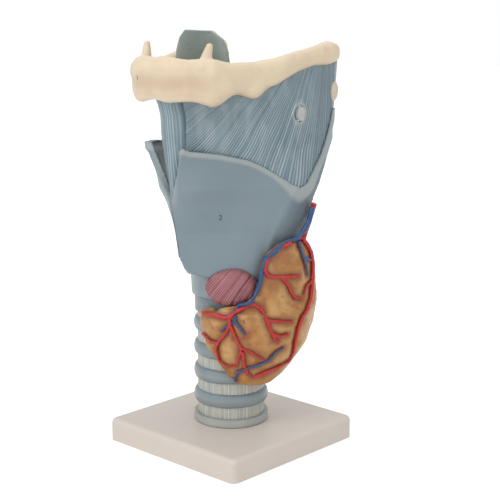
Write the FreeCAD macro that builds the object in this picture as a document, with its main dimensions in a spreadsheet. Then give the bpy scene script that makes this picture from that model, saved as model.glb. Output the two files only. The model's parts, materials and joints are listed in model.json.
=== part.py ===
import FreeCAD, Part
import math
import os
from types import SimpleNamespace

import Sketcher
from FreeCAD import Placement, Rotation, Vector

# A larynx model at about twice life size, on a square base, in millimetres.
# The origin is the middle of the base's underside, under the axis of the trachea.
# -Y is the front of the throat, +X its left side and +Z is up.

doc = FreeCAD.newDocument("larynx_model")

# Driving dimensions. Places along the height are worked out from them further down.

SIZES = (
    # base
    ("base_side", 100.0), ("base_height", 13.0), ("base_corner_radius", 4.0),
    ("base_edge_radius", 3.0), ("cap_height", 1.5), ("cap_clearance", 0.2),
    # screw that holds the trachea on the base
    ("screw_radius", 2.5), ("screw_head_radius", 4.6), ("screw_head_height", 3.2),
    ("screw_grip", 10.0), ("screw_clearance", 0.3), ("screw_slot_width", 1.2),
    ("screw_slot_depth", 1.4), ("washer_radius", 7.5), ("washer_height", 1.2),
    # trachea
    ("bore_radius", 15.5), ("tube_radius", 18.6), ("ring_radius", 21.4),
    ("ring_shoulder", 0.7), ("ring_height", 8.8), ("ring_pitch", 14.1),
    ("ring_gap_angle", 76.0), ("collar_height", 5.0), ("first_ring_rise", 15.2),
    ("trachea_length", 64.5), ("plug_height", 14.0),
    # cricoid cartilage
    ("cricoid_radius", 20.6), ("cricoid_arch_height", 15.5), ("cricoid_back_height", 46.5),
    ("horn_boss_radius", 3.6),
    ("rear_muscle_thickness", 2.6),
    # thyroid cartilage
    ("thyroid_half_width", 43.0), ("thyroid_reach", 50.6), ("thyroid_height", 79.0),
    ("thyroid_rise", 18.5), ("lamina_wall", 4.6), ("midline_clearance", 0.3),
    ("horn_length", 16.5),
    # membranes and ligaments
    ("membrane_wall", 1.6), ("seam_clearance", 0.25),
    ("front_ligament_half_width", 9.3), ("front_ligament_wall", 1.8),
    ("front_ligament_bulge", 5.2), ("rear_ligament_radius", 1.5),
    ("bead_radius", 3.3), ("bead_length", 12.0),
    ("nerve_hole_half_width", 2.6), ("nerve_hole_half_height", 4.1), ("nerve_stub_length", 4.5),
    # hyoid bone
    ("hyoid_rise", 34.0), ("hyoid_half_width", 42.6), ("hyoid_reach", 55.0),
    ("hyoid_half_thickness", 5.5), ("hyoid_half_height", 11.5),
    ("lesser_horn_length", 10.5), ("lesser_horn_radius", 3.1),
    # epiglottis
    ("leaf_half_width", 20.4), ("leaf_length", 93.0), ("leaf_thickness", 2.6),
    ("leaf_cup", 4.2), ("leaf_lean", 0.8), ("hinge_pin_radius", 1.6),
    ("hinge_barrel_radius", 3.4), ("hinge_barrel_length", 6.4), ("hinge_side_clearance", 0.4),
    ("hinge_ear_thickness", 3.4), ("running_clearance", 0.05),
    # arytenoids and folds
    ("arytenoid_height", 25.0), ("arytenoid_spread", 9.6), ("arytenoid_setback", 15.4),
    ("arytenoid_lift", 0.3), ("arytenoid_pin_radius", 1.5), ("arytenoid_pin_height", 9.0),
    ("arytenoid_pin_depth", 5.0),
    ("vocal_process_reach", 12.5), ("muscular_process_reach", 9.0),
    ("corniculate_length", 7.0), ("fold_height", 6.5), ("fold_width", 5.0),
    ("fold_gap", 1.2), ("fold_pin_radius", 1.0), ("fold_pin_spread", 2.8),
    ("upper_fold_height", 5.0), ("upper_fold_lift", 12.5),
    # muscle pads
    ("muscle_radius", 27.2), ("muscle_thickness", 6.2), ("muscle_half_length", 14.5),
    ("muscle_half_height", 11.0),
    # gland and vessels
    ("gland_half_width", 40.0), ("gland_depth", 10.0), ("gland_height", 81.0),
    ("gland_clearance", 0.5), ("artery_radius", 1.35), ("vein_radius", 1.45), ("twig_radius", 0.8),
    # pegs of the pieces that lift off
    ("peg_radius", 1.6), ("peg_length", 6.0), ("horn_peg_length", 3.2),
    # overrun of every cut
    ("overrun", 2.0),
)

sheet = doc.addObject("Spreadsheet::Sheet", "Sizes")
for row, (alias, number) in enumerate(SIZES, start=1):
    sheet.set("A%d" % row, alias)
    sheet.set("B%d" % row, str(number))
    sheet.setAlias("B%d" % row, alias)
doc.recompute()


class Size:
    """A length that knows both its value and the expression that gives it in the sheet."""

    def __init__(self, value, text):
        self.value = value
        self.text = text

    def __add__(self, other):
        return Size(self.value + other.value, "(%s + %s)" % (self.text, other.text))

    def __sub__(self, other):
        return Size(self.value - other.value, "(%s - %s)" % (self.text, other.text))

    def __mul__(self, share):
        return Size(self.value * share, "(%s * %r)" % (self.text, share))

    def __neg__(self):
        return Size(-self.value, "(0 - %s)" % self.text)


mm = SimpleNamespace()
cell = SimpleNamespace()
for alias, _ in SIZES:
    setattr(mm, alias, float(sheet.get(alias)))
    setattr(cell, alias, Size(float(sheet.get(alias)), "Sizes." + alias))
nothing = Size(0.0, "0")

# Heights of the main levels above the floor, from the sizes.

screw_seat = cell.cap_height + cell.screw_head_height
cricoid_foot = cell.base_height + cell.trachea_length
arch_top = cricoid_foot + cell.cricoid_arch_height
cricoid_top = cricoid_foot + cell.cricoid_back_height
thyroid_foot = cricoid_foot + cell.thyroid_rise
thyroid_top = thyroid_foot + cell.thyroid_height
hyoid_level = thyroid_top + cell.hyoid_rise

# Seat of the lower horns on the sides of the cricoid.

horn_seat_reach = cell.thyroid_half_width * 0.662 - cell.lamina_wall - cell.seam_clearance * 2
horn_seat_forward = cell.thyroid_reach * 0.196
horn_seat_level = thyroid_foot - cell.thyroid_height * 0.1

parts = []


def keep(obj):
    """Note a finished sub-part. Its label names its file."""
    parts.append(obj)
    return obj


def solid_part(name, shape, place=None):
    """A sub-part whose form is set by a function of Part."""
    obj = doc.addObject("Part::Feature", name)
    obj.Label = name
    obj.Shape = shape
    if place is not None:
        obj.Placement = place
    return keep(obj)


def new_body(name):
    body = doc.addObject("PartDesign::Body", name)
    body.Label = name
    return body


def sketch_on(body, role, name, height=None):
    """A sketch on one of the body's own origin planes, raised along its normal if asked."""
    plane = [item for item in body.Origin.OriginFeatures if item.Role == role][0]
    sketch = body.newObject("Sketcher::SketchObject", name)
    sketch.AttachmentSupport = [(plane, "")]
    sketch.MapMode = "FlatFace"
    if height is not None:
        sketch.AttachmentOffset = Placement(Vector(0, 0, height.value), Rotation())
        sketch.setExpression("AttachmentOffset.Base.z", height.text)
    return sketch


def bind_last(sketch, text):
    """Tie the newest constraint of a sketch to an expression."""
    index = sketch.ConstraintCount - 1
    label = "size_%d" % index
    sketch.renameConstraint(index, label)
    sketch.setExpression("Constraints." + label, text)


def draw_circle(sketch, radius, across=None, along=None):
    """A circle of a bound radius, at the origin or at a bound place."""
    across = across or nothing
    along = along or nothing
    centre = Vector(across.value, along.value, 0)
    edge = sketch.addGeometry(Part.Circle(centre, Vector(0, 0, 1), radius.value), False)
    sketch.addConstraint(Sketcher.Constraint("Radius", edge, radius.value))
    bind_last(sketch, radius.text)
    place_point(sketch, edge, 3, across, along)


def place_point(sketch, edge, vertex, across, along):
    """Hold one point of a sketch at bound distances from the sketch's origin."""
    if across.value == 0 and along.value == 0:
        sketch.addConstraint(Sketcher.Constraint("Coincident", edge, vertex, -1, 1))
        return
    for kind, distance, axis in (("DistanceX", across, -2), ("DistanceY", along, -1)):
        if distance.value == 0:
            sketch.addConstraint(Sketcher.Constraint("PointOnObject", edge, vertex, axis))
        else:
            sketch.addConstraint(Sketcher.Constraint(kind, -1, 1, edge, vertex, distance.value))
            bind_last(sketch, distance.text)


def draw_outline(sketch, points):
    """A closed outline of straight runs whose corners are all bound."""
    corners = [Vector(across.value, along.value, 0) for across, along in points]
    first = sketch.GeometryCount
    for start, end in zip(corners, corners[1:] + corners[:1]):
        sketch.addGeometry(Part.LineSegment(start, end), False)
    for number in range(len(points)):
        following = (number + 1) % len(points)
        sketch.addConstraint(Sketcher.Constraint("Coincident", first + number, 2, first + following, 1))
    for number, (across, along) in enumerate(points):
        place_point(sketch, first + number, 1, across, along)


def draw_rounded_square(sketch, side, radius):
    """A square on the origin with rounded corners, drawn by its half side and corner radius."""
    half = side.value / 2
    inner = half - radius.value
    first = sketch.GeometryCount
    corner_ends = []
    for turn in range(4):
        middle = math.radians(45 + 90 * turn)
        centre = Vector(math.copysign(inner, math.cos(middle)), math.copysign(inner, math.sin(middle)), 0)
        circle = Part.Circle(centre, Vector(0, 0, 1), radius.value)
        start = math.radians(90 * turn)
        arc = Part.ArcOfCircle(circle, start, start + math.pi / 2)
        sketch.addGeometry(arc, False)
        corner_ends.append((arc.EndPoint, turn))
    for turn in range(4):
        following = sketch.Geometry[first + (turn + 1) % 4].StartPoint
        line = sketch.addGeometry(Part.LineSegment(corner_ends[turn][0], following), False)
        sketch.addConstraint(Sketcher.Constraint("Tangent", first + turn, 2, line, 1))
        sketch.addConstraint(Sketcher.Constraint("Tangent", line, 2, first + (turn + 1) % 4, 1))
    for turn in range(1, 4):
        sketch.addConstraint(Sketcher.Constraint("Equal", first, first + turn))
    sketch.addConstraint(Sketcher.Constraint("Radius", first, radius.value))
    bind_last(sketch, radius.text)
    sides = ((4, "DistanceY", 1), (6, "DistanceY", -1), (5, "DistanceX", -1), (7, "DistanceX", 1))
    for vertex_edge, kind, sign in sides:
        sketch.addConstraint(Sketcher.Constraint(kind, -1, 1, first + vertex_edge, 1, sign * half))
        bind_last(sketch, "%s * %r" % (side.text, sign * 0.5))


def pad(body, sketch, name, length, reverse=False):
    feature = body.newObject("PartDesign::Pad", name)
    feature.Profile = sketch
    feature.Length = length.value
    feature.setExpression("Length", length.text)
    feature.Reversed = reverse
    return feature


def pocket(body, sketch, name, length, reverse=False, both_ways=False):
    feature = body.newObject("PartDesign::Pocket", name)
    feature.Profile = sketch
    feature.Length = length.value
    feature.setExpression("Length", length.text)
    feature.Reversed = reverse
    if both_ways:
        feature.SideType = "Symmetric"
    return feature


def revolve(body, sketch, name, angle=360.0, angle_text=None):
    feature = body.newObject("PartDesign::Revolution", name)
    feature.Profile = sketch
    feature.ReferenceAxis = (sketch, ["V_Axis"])
    feature.Angle = angle
    if angle_text:
        feature.Midplane = True
        feature.setExpression("Angle", angle_text)
    return feature


def round_edges(body, base, name, edges, radius):
    feature = body.newObject("PartDesign::Fillet", name)
    feature.Base = (base, edges)
    feature.Radius = radius.value
    feature.setExpression("Radius", radius.text)
    return feature


# Curves and walls of the free forms.

def curve_through(points):
    spline = Part.BSplineCurve()
    spline.interpolate(Points=points)
    return spline.toShape()


def ring_through(points):
    """A closed wire that runs smoothly through the points."""
    spline = Part.BSplineCurve()
    spline.interpolate(Points=points, PeriodicFlag=True)
    return Part.Wire([spline.toShape()])


def loft(wires, ruled=True):
    return Part.makeLoft(wires, True, ruled)


def largest(shape):
    return max(shape.Solids, key=lambda solid: solid.Volume)


def mirrored(shape):
    """The same form on the right side of the throat."""
    return shape.mirror(Vector(0, 0, 0), Vector(1, 0, 0))


def rod(start, direction, length, radius):
    return Part.makeCylinder(radius, length, start, direction)


def prism_across(points, start, end):
    """A closed Y-Z outline, drawn out along X from start to end."""
    corners = [Vector(start, y, z) for y, z in points]
    face = Part.Face(Part.makePolygon(corners + corners[:1]))
    return face.extrude(Vector(end - start, 0, 0))


# Outer surface of the thyroid cartilage, left half.
# Each level holds its height share and the places of five points from the front to the back:
# across as shares of the half width and forward as shares of the reach.

WALL_LEVEL_SHARES = (
    (-0.18, ((0.00, -0.690), (0.250, -0.545), (0.455, -0.360), (0.600, -0.160), (0.655, 0.290))),
    (0.00, ((0.00, -0.721), (0.256, -0.563), (0.477, -0.375), (0.640, -0.158), (0.715, 0.285))),
    (0.10, ((0.00, -0.767), (0.267, -0.583), (0.500, -0.366), (0.686, -0.119), (0.744, 0.316))),
    (0.39, ((0.00, -0.850), (0.256, -0.613), (0.535, -0.316), (0.779, 0.000), (0.872, 0.425))),
    (0.60, ((0.00, -0.915), (0.198, -0.816), (0.593, -0.296), (0.872, 0.079), (0.942, 0.484))),
    (0.70, ((0.085, -0.937), (0.256, -0.870), (0.630, -0.306), (0.919, 0.109), (0.977, 0.545))),
    (1.00, ((0.349, -1.000), (0.523, -0.682), (0.721, -0.296), (0.977, 0.178), (1.000, 0.731))),
    (1.30, ((0.349, -1.010), (0.580, -0.765), (0.800, -0.380), (0.995, 0.165), (1.020, 0.760))),
)


def wall_points(level):
    """The five places of a level of a surface table."""
    _, place_shares = level
    return [(x * mm.thyroid_half_width, y * mm.thyroid_reach) for x, y in place_shares]


def inward(points):
    """Unit vectors that point into the larynx, square to the surface, one for each place."""
    result = []
    for number in range(len(points)):
        ahead = points[min(number + 1, len(points) - 1)]
        behind = points[max(number - 1, 0)]
        run = Vector(ahead[0] - behind[0], ahead[1] - behind[1], 0)
        run.normalize()
        result.append(Vector(-run.y, run.x, 0))
    return result


def wall_height(share):
    return thyroid_foot.value + share * mm.thyroid_height


def wall_strip(levels, outset, inset):
    """A wall that follows a surface table between two depths under it, from level to level."""
    wires = []
    for level in levels:
        height = wall_height(level[0])
        places = wall_points(level)
        normals = inward(places)
        lines = []
        for depth in (outset, inset):
            lines.append([Vector(x, y, height) + normal * depth for (x, y), normal in zip(places, normals)])
        outer, inner = lines
        edges = [
            curve_through(outer),
            Part.makeLine(outer[-1], inner[-1]),
            curve_through(inner[::-1]),
            Part.makeLine(inner[0], outer[0]),
        ]
        wires.append(Part.Wire(edges))
    return loft(wires)


# Upper border of a lamina from the notch to the root of the upper horn and up its front edge,
# then its lower border from the lower horn to the front, as shares of the reach and the height.
# The right half is the one that lifts off, and its lower border is higher.

HORN_EDGE_SHARES = ((0.20, 0.62), (0.26, 0.90), (0.36, 1.00))
LEFT_UPPER_SHARES = (
    (-1.010, 1.005), (-0.975, 0.990), (-0.900, 0.968), (-0.818, 0.963), (-0.617, 0.943),
    (-0.460, 0.918), (-0.306, 0.892), (-0.180, 0.852), (-0.060, 0.802), (0.060, 0.746),
    (0.165, 0.698), (0.255, 0.680), (0.340, 0.704), (0.417, 0.782), (0.530, 0.894), (0.615, 1.028),
)
RIGHT_UPPER_SHARES = (
    (-1.010, 1.005), (-0.975, 1.006), (-0.900, 1.008), (-0.818, 1.008), (-0.617, 0.992),
    (-0.460, 0.966), (-0.306, 0.924), (-0.180, 0.866), (-0.060, 0.806), (0.060, 0.746),
    (0.165, 0.698), (0.255, 0.680), (0.340, 0.704), (0.417, 0.782), (0.530, 0.894), (0.615, 1.028),
)
LEFT_LOWER_SHARES = (
    (0.330, -0.105), (0.275, -0.150), (0.200, -0.148), (0.140, -0.100), (0.095, 0.010),
    (-0.100, 0.030), (-0.360, 0.010), (-0.500, 0.060), (-0.620, 0.085), (-0.690, 0.105), (-0.735, 0.140),
    (-0.768, 0.185), (-0.820, 0.212), (-0.900, 0.215),
)
RIGHT_LOWER_SHARES = (
    (0.330, -0.105), (0.275, -0.150), (0.200, -0.148), (0.145, -0.090), (0.125, 0.060),
    (0.060, 0.150), (-0.080, 0.195), (-0.360, 0.212), (-0.900, 0.215),
)


def border(shares, lift=0.0):
    return [(y * mm.thyroid_reach, wall_height(z) + lift) for y, z in shares]


def horn_edge(root):
    """Front edge of the upper horn above its root."""
    top = thyroid_top.value
    return [(root + y * mm.horn_length, top + z * mm.horn_length) for y, z in HORN_EDGE_SHARES]


def lamina_outline(upper_shares, lower_shares):
    front = -mm.thyroid_reach - mm.lamina_wall * 3
    back = mm.thyroid_reach
    horn_tip = thyroid_top.value + mm.horn_length
    upper = border(upper_shares)
    lower = border(lower_shares)
    horn = horn_edge(upper[-1][0]) + [(back, horn_tip), (back, lower[0][1])]
    return [(front, upper[0][1])] + upper + horn + lower + [(front, lower[-1][1])]


def thyroid_lamina(upper_shares, lower_shares):
    """One half of the thyroid cartilage, cut from the wall along its borders, on the left side."""
    wall = wall_strip(WALL_LEVEL_SHARES, 0.0, mm.lamina_wall)
    outline = lamina_outline(upper_shares, lower_shares)
    side = prism_across(outline, mm.midline_clearance / 2, mm.thyroid_half_width * 1.5)
    return largest(wall.common(side).cut(seat_room).cut(peg_room))


# Hyoid bone: stations along its left half. Each gives the place across and forward, the height
# of the middle above the level of the body, and the half height and half thickness, as shares.

HYOID_SIDES = 14
HYOID_STATION_SHARES = (
    (0.000, -1.000, -0.010, 1.00, 1.00),
    (0.235, -0.985, 0.000, 1.00, 1.00),
    (0.435, -0.905, -0.005, 0.93, 0.98),
    (0.600, -0.735, -0.025, 0.99, 0.95),
    (0.710, -0.545, -0.010, 0.76, 0.88),
    (0.810, -0.330, -0.015, 0.78, 0.84),
    (0.895, -0.110, 0.080, 0.66, 0.78),
    (0.968, 0.145, 0.235, 0.48, 0.76),
    (0.995, 0.360, 0.310, 0.49, 0.76),
    (1.000, 0.565, 0.338, 0.57, 0.86),
    (0.990, 0.705, 0.335, 0.42, 0.62),
)


def hyoid_centre(station):
    across, forward, rise, _, _ = station
    z = hyoid_level.value + rise * mm.hyoid_rise + mm.hyoid_half_height * 0.1
    return Vector(across * mm.hyoid_half_width, forward * mm.hyoid_reach, z)


def hyoid_section(station, direction):
    """A rounded upright section across the bone."""
    _, _, _, tall, thick = station
    centre = hyoid_centre(station)
    outward = Vector(direction.y, -direction.x, 0)
    outward.normalize()
    points = []
    for count in range(HYOID_SIDES):
        turn = math.radians(360 / HYOID_SIDES * (count + 0.5))
        out = math.cos(turn) * thick * mm.hyoid_half_thickness
        up = math.sin(turn) * tall * mm.hyoid_half_height
        points.append(centre + outward * out + Vector(0, 0, up))
    return Part.makePolygon(points + points[:1])


def hyoid_bone():
    right = [(-across, forward, rise, tall, thick)
             for across, forward, rise, tall, thick in HYOID_STATION_SHARES[:0:-1]]
    stations = right + list(HYOID_STATION_SHARES)
    centres = [hyoid_centre(station) for station in stations]
    wires = []
    for number, station in enumerate(stations):
        ahead = centres[min(number + 1, len(centres) - 1)]
        behind = centres[max(number - 1, 0)]
        direction = ahead - behind
        wires.append(hyoid_section(station, Vector(direction.x, direction.y, 0)))
    return loft(wires)


# Thyrohyoid membrane: its outer surface, in the same shares as the cartilage, and its top line,
# which runs inside the hyoid bone.

MEMBRANE_LEVEL_SHARES = (
    (0.60, ((0.000, -0.880), (0.260, -0.645), (0.565, -0.285), (0.845, 0.085), (0.915, 0.484))),
    (0.70, ((0.060, -0.905), (0.310, -0.675), (0.600, -0.295), (0.890, 0.115), (0.950, 0.545))),
    (1.00, ((0.200, -0.846), (0.442, -0.642), (0.698, -0.296), (0.953, 0.198), (0.985, 0.745))),
    (1.20, ((0.214, -0.858), (0.449, -0.646), (0.709, -0.306), (0.960, 0.188), (0.995, 0.751))),
    (1.29, ((0.232, -0.902), (0.485, -0.702), (0.738, -0.340), (0.970, 0.170), (1.000, 0.756))),
    (1.58, ((0.279, -0.939), (0.512, -0.741), (0.756, -0.366), (0.977, 0.158), (1.005, 0.760))),
)
MEMBRANE_TOP_SHARES = (
    (0.790, 1.600), (0.300, 1.560), (0.060, 1.510), (-0.120, 1.440), (-0.350, 1.410), (-1.150, 1.410),
)
NERVE_HOLE_PLACE_SHARES = (0.205, 1.195)


def nerve_place():
    """Middle of the hole in the left membrane and the direction that points out of it."""
    forward_share, height_share = NERVE_HOLE_PLACE_SHARES
    low, high = MEMBRANE_LEVEL_SHARES[2:4]
    rise = (height_share - low[0]) / (high[0] - low[0])
    places = []
    for (x_low, y_low), (x_high, y_high) in zip(wall_points(low), wall_points(high)):
        places.append((x_low + (x_high - x_low) * rise, y_low + (y_high - y_low) * rise))
    normals = inward(places)
    y = forward_share * mm.thyroid_reach
    (x_front, y_front), (x_back, y_back) = places[3:]
    mix = (y - y_front) / (y_back - y_front)
    x = x_front + (x_back - x_front) * mix
    out = normals[3] * (mix - 1) - normals[4] * mix
    out.normalize()
    return Vector(x, y, wall_height(height_share)), out


def oval_prism(centre, out, half_width, half_height, length):
    """An oval rod, centred on a point, that runs along a level direction."""
    aside = Vector(-out.y, out.x, 0)
    points = []
    for count in range(8):
        turn = math.radians(45 * count)
        points.append(centre - out * (length / 2) + aside * (math.cos(turn) * half_width)
                      + Vector(0, 0, math.sin(turn) * half_height))
    return Part.Face(ring_through(points)).extrude(out * length)


def thyrohyoid_membrane(upper_shares):
    """The left membrane above a lamina's upper border, fitted round what it meets."""
    wall = wall_strip(MEMBRANE_LEVEL_SHARES, 0.0, mm.membrane_wall)
    rear = mm.thyroid_reach * 0.735
    foot = border(upper_shares, mm.seam_clearance)
    top = border(MEMBRANE_TOP_SHARES)
    seam = mm.seam_clearance
    horn_side = [(y - seam, z + seam) for y, z in horn_edge(foot[-1][0])]
    horn_side = horn_side + [(rear, thyroid_top.value + mm.horn_length + seam)]
    front = -mm.thyroid_reach - mm.lamina_wall * 3
    root = len(foot) - 5
    horn_front = [(y - seam, z) for y, z in foot[root:]]
    outline = [(front, foot[0][1])] + foot[:root] + horn_front + horn_side + [(rear, top[0][1])] + top[1:]
    field = prism_across(outline, mm.front_ligament_half_width * 0.85, mm.thyroid_half_width * 1.5)
    centre, out = nerve_place()
    through = mm.nerve_stub_length * 3
    hole = oval_prism(centre, out, mm.nerve_hole_half_width, mm.nerve_hole_half_height, through)
    return largest(wall.common(field).cut([hole, bone, ligament, cord, pearl]))


# Front ligament: height, width and place of its edges, as shares.

FRONT_LIGAMENT_SHARES = (
    (0.625, 0.08, -0.890), (0.700, 0.16, -0.885), (1.000, 0.92, -0.848), (1.200, 1.00, -0.858),
    (1.290, 1.00, -0.900), (1.460, 1.00, -0.945),
)


def front_ligament(bone, wall_block):
    """The bulging band from the notch up behind the hyoid's body."""
    wires = []
    half = mm.front_ligament_half_width
    for share, width_share, edge_share in FRONT_LIGAMENT_SHARES:
        width = half * width_share
        edge = edge_share * mm.thyroid_reach
        bulge = mm.front_ligament_bulge * width_share
        z = wall_height(share)
        lines = []
        for depth in (0.0, mm.front_ligament_wall):
            left = Vector(width, edge + depth, z)
            middle = Vector(0, edge - bulge + depth, z)
            right = Vector(-width, edge + depth, z)
            lines.append((right, middle, left))
        outer, inner = lines
        edges = [
            Part.Arc(*outer).toShape(),
            Part.makeLine(outer[2], inner[2]),
            Part.Arc(*inner[::-1]).toShape(),
            Part.makeLine(inner[0], outer[0]),
        ]
        wires.append(Part.Wire(edges))
    return largest(loft(wires).cut(bone).cut(wall_block).cut(mirrored(wall_block)))


def bead(centre, direction, length, radius):
    """An oval bead, turned about its own long axis from a side of short chords."""
    half = length / 2
    side = []
    for count in range(9):
        turn = math.radians(22.5 * count)
        side.append(Vector(math.sin(turn) * radius, 0, -math.cos(turn) * half))
    solid = Part.Face(Part.makePolygon(side + side[:1])).revolve(Vector(0, 0, 0), Vector(0, 0, 1), 360)
    solid.Placement = Placement(centre, Rotation(Vector(0, 0, 1), direction))
    return solid


BEAD_SHARE = 0.30


def rear_ligament_line():
    """From the tip of the upper horn to the tip of the hyoid, on the left."""
    foot = Vector(mm.thyroid_half_width * 0.962, mm.thyroid_reach * 0.725,
                  thyroid_top.value + mm.horn_length + mm.seam_clearance)
    tip = hyoid_centre(HYOID_STATION_SHARES[-1])
    return foot, tip


# Epiglottis: shares of the height above the hinge, of the half width and of the cup.

LEAF_SHARES = (
    (-0.010, 0.16, 0.02, 0.00), (0.060, 0.17, 0.05, 0.02), (0.300, 0.42, 0.25, 0.20),
    (0.550, 0.74, 0.60, 0.45),
    (0.780, 1.00, 0.95, 0.72), (0.880, 0.93, 0.97, 0.85), (0.950, 0.77, 0.82, 0.94),
    (0.995, 0.48, 0.45, 1.00),
)


def hinge_place():
    """Middle of the hinge of the epiglottis, inside the angle of the thyroid cartilage."""
    return Vector(0, -mm.thyroid_reach * 0.515, wall_height(0.58))


def hinge_pin(radius):
    half = mm.hinge_barrel_length / 2 + mm.hinge_side_clearance + mm.hinge_ear_thickness
    return rod(hinge_place() - Vector(half, 0, 0), Vector(1, 0, 0), half * 2, radius)


def epiglottis():
    hinge = hinge_place()
    wires = []
    for height_share, width_share, cup_share, lean_share in LEAF_SHARES:
        z = hinge.z + height_share * mm.leaf_length
        y = hinge.y - lean_share * mm.leaf_lean
        width = width_share * mm.leaf_half_width
        back = cup_share * mm.leaf_cup
        lines = []
        for depth in (0.0, mm.leaf_thickness):
            left = Vector(width, y + back + depth, z)
            middle = Vector(0, y + depth, z)
            right = Vector(-width, y + back + depth, z)
            lines.append((right, middle, left))
        outer, inner = lines
        edges = [
            curve_through(list(outer)),
            Part.makeLine(outer[2], inner[2]),
            curve_through(list(inner[::-1])),
            Part.makeLine(inner[0], outer[0]),
        ]
        wires.append(Part.Wire(edges))
    leaf = loft(wires)
    start = hinge - Vector(mm.hinge_barrel_length / 2, 0, 0)
    barrel = rod(start, Vector(1, 0, 0), mm.hinge_barrel_length, mm.hinge_barrel_radius)
    return largest(leaf.fuse(barrel).cut(hinge_pin(mm.hinge_pin_radius + mm.running_clearance)))


def block(low, high):
    """A box between two opposite corners."""
    size = high - low
    return Part.makeBox(size.x, size.y, size.z, low)


def fat_pad(bone, ligament):
    """The pad in front of the epiglottis, with the two ears that hold its hinge."""
    hinge = hinge_place()
    radius = mm.hinge_barrel_radius
    side = mm.hinge_side_clearance
    half = mm.hinge_barrel_length / 2 + side
    wide = half + mm.hinge_ear_thickness
    ear_front = hinge.y - radius - mm.hinge_ear_thickness * 0.25
    ear_back = hinge.y + radius
    reach = mm.thyroid_reach
    back = hinge.y - side
    levels = (
        (hinge.z - radius, wide, ear_front, ear_back),
        (hinge.z + radius * 1.2, wide, ear_front - reach * 0.02, ear_back),
        (hinge.z + radius * 1.3, wide, ear_front - reach * 0.03, back),
        (wall_height(0.90), wide * 1.1, -reach * 0.855, back),
        (wall_height(1.20), wide * 1.2, -reach * 0.880, back - mm.leaf_lean * 0.7),
        (wall_height(1.30), wide * 1.3, -reach * 0.915, back - mm.leaf_lean),
    )
    wires = []
    for z, width, front, rear in levels:
        corners = [Vector(width, rear, z), Vector(width * 0.8, front, z), Vector(-width * 0.8, front, z),
                   Vector(-width, rear, z)]
        wires.append(Part.makePolygon(corners + corners[:1]))
    low = hinge.z - radius - mm.overrun
    far_back = ear_back + mm.overrun
    barrel_front = Vector(-half, hinge.y - radius - side, low)
    barrel_room = block(barrel_front, Vector(half, far_back, hinge.z + radius + side))
    leaf_room = block(Vector(-half, hinge.y - side, low), Vector(half, far_back, hinge.z + radius * 2))
    room = barrel_room.fuse(leaf_room).fuse(hinge_pin(mm.hinge_pin_radius))
    return largest(loft(wires).cut(room).cut(ligament).cut(bone))


# Folds and the block that carries them at the thyroid angle.

def fold_level():
    return cricoid_top.value - mm.fold_height * 0.35


def fold_pin_place():
    return Vector(mm.fold_pin_spread, -mm.thyroid_reach * 0.555, fold_level())


def fold_pins(radius):
    """The two upright pins that the vocal folds turn on."""
    place = fold_pin_place()
    reach = mm.fold_height * 0.45
    left = rod(place - Vector(0, 0, reach), Vector(0, 0, 1), mm.fold_height + reach * 2, radius)
    return left, mirrored(left)


def commissure_block(lamina):
    """A wedge in the angle of the thyroid cartilage, slotted for the front ends of the folds."""
    place = fold_pin_place()
    wide = mm.fold_pin_spread * 1.75
    low = Vector(-wide, -mm.thyroid_reach * 0.80, place.z - mm.fold_height * 0.65)
    high = Vector(wide, -mm.thyroid_reach * 0.510, place.z + mm.upper_fold_lift + mm.upper_fold_height * 0.6)
    seam = mm.seam_clearance
    slot_low = Vector(low.x - mm.overrun, place.y - mm.fold_pin_radius * 2.7, place.z - seam)
    slot_high = Vector(high.x + mm.overrun, high.y + mm.overrun, place.z + mm.fold_height + seam)
    inner_depth = mm.lamina_wall + mm.midline_clearance
    beyond = wall_strip(WALL_LEVEL_SHARES[1:6], -mm.lamina_wall * 2, inner_depth)
    left_pin, right_pin = fold_pins(mm.fold_pin_radius)
    room = [lamina, mirrored(beyond), block(slot_low, slot_high), left_pin, right_pin]
    return largest(block(low, high).cut(room))


def vocal_fold():
    """The left fold: a band with a sloping underside and a barrel for its pin."""
    place = fold_pin_place()
    tall = mm.fold_height
    barrel_radius = mm.fold_pin_radius * 2.2
    barrel = rod(place, Vector(0, 0, 1), tall, barrel_radius)
    back = vocal_process_tip()
    end_y = back.y - mm.fold_gap
    inner_x = back.x - mm.fold_width * 0.30
    wires = []
    front_x = place.x - barrel_radius * 0.8
    top = place.z + tall
    for x, y, width in ((front_x, place.y, barrel_radius * 1.7), (inner_x, end_y, mm.fold_width)):
        corners = [Vector(x, y, top), Vector(x + width, y, top), Vector(x + width, y, place.z),
                   Vector(x + width * 0.45, y, place.z), Vector(x, y, place.z + tall * 0.62)]
        wires.append(Part.makePolygon(corners + corners[:1]))
    hole = fold_pins(mm.fold_pin_radius + mm.running_clearance)[0]
    return largest(loft(wires).fuse(barrel).cut(hole))


def vestibular_fold():
    """The fixed upper fold on the left, from the block back towards the arytenoid."""
    z = fold_level() + mm.upper_fold_lift
    front_y = -mm.thyroid_reach * 0.510
    tall = mm.upper_fold_height
    full = mm.fold_width
    stations = (
        (mm.fold_pin_spread * 0.4, front_y, full * 0.75, tall),
        (mm.arytenoid_spread * 0.5, front_y * 0.45, full, tall * 0.9),
        (mm.arytenoid_spread * 0.8, mm.arytenoid_setback * 0.1, full, tall * 0.7),
    )
    wires = []
    for x, y, width, height in stations:
        corners = [Vector(x, y, z), Vector(x + width, y, z - height * 0.35),
                   Vector(x + width, y, z + height * 0.5), Vector(x + width * 0.4, y, z + height * 0.55)]
        wires.append(Part.makePolygon(corners + corners[:1]))
    return loft(wires)


# Arytenoid cartilages.

ARYTENOID_BASE_SHARES = (
    (-0.62, -0.30), (0.10, -0.52), (0.72, 0.00), (0.62, 0.45), (-0.10, 0.62), (-0.66, 0.30),
)


def arytenoid_foot():
    return Vector(mm.arytenoid_spread, mm.arytenoid_setback, cricoid_top.value + mm.arytenoid_lift)


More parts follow.
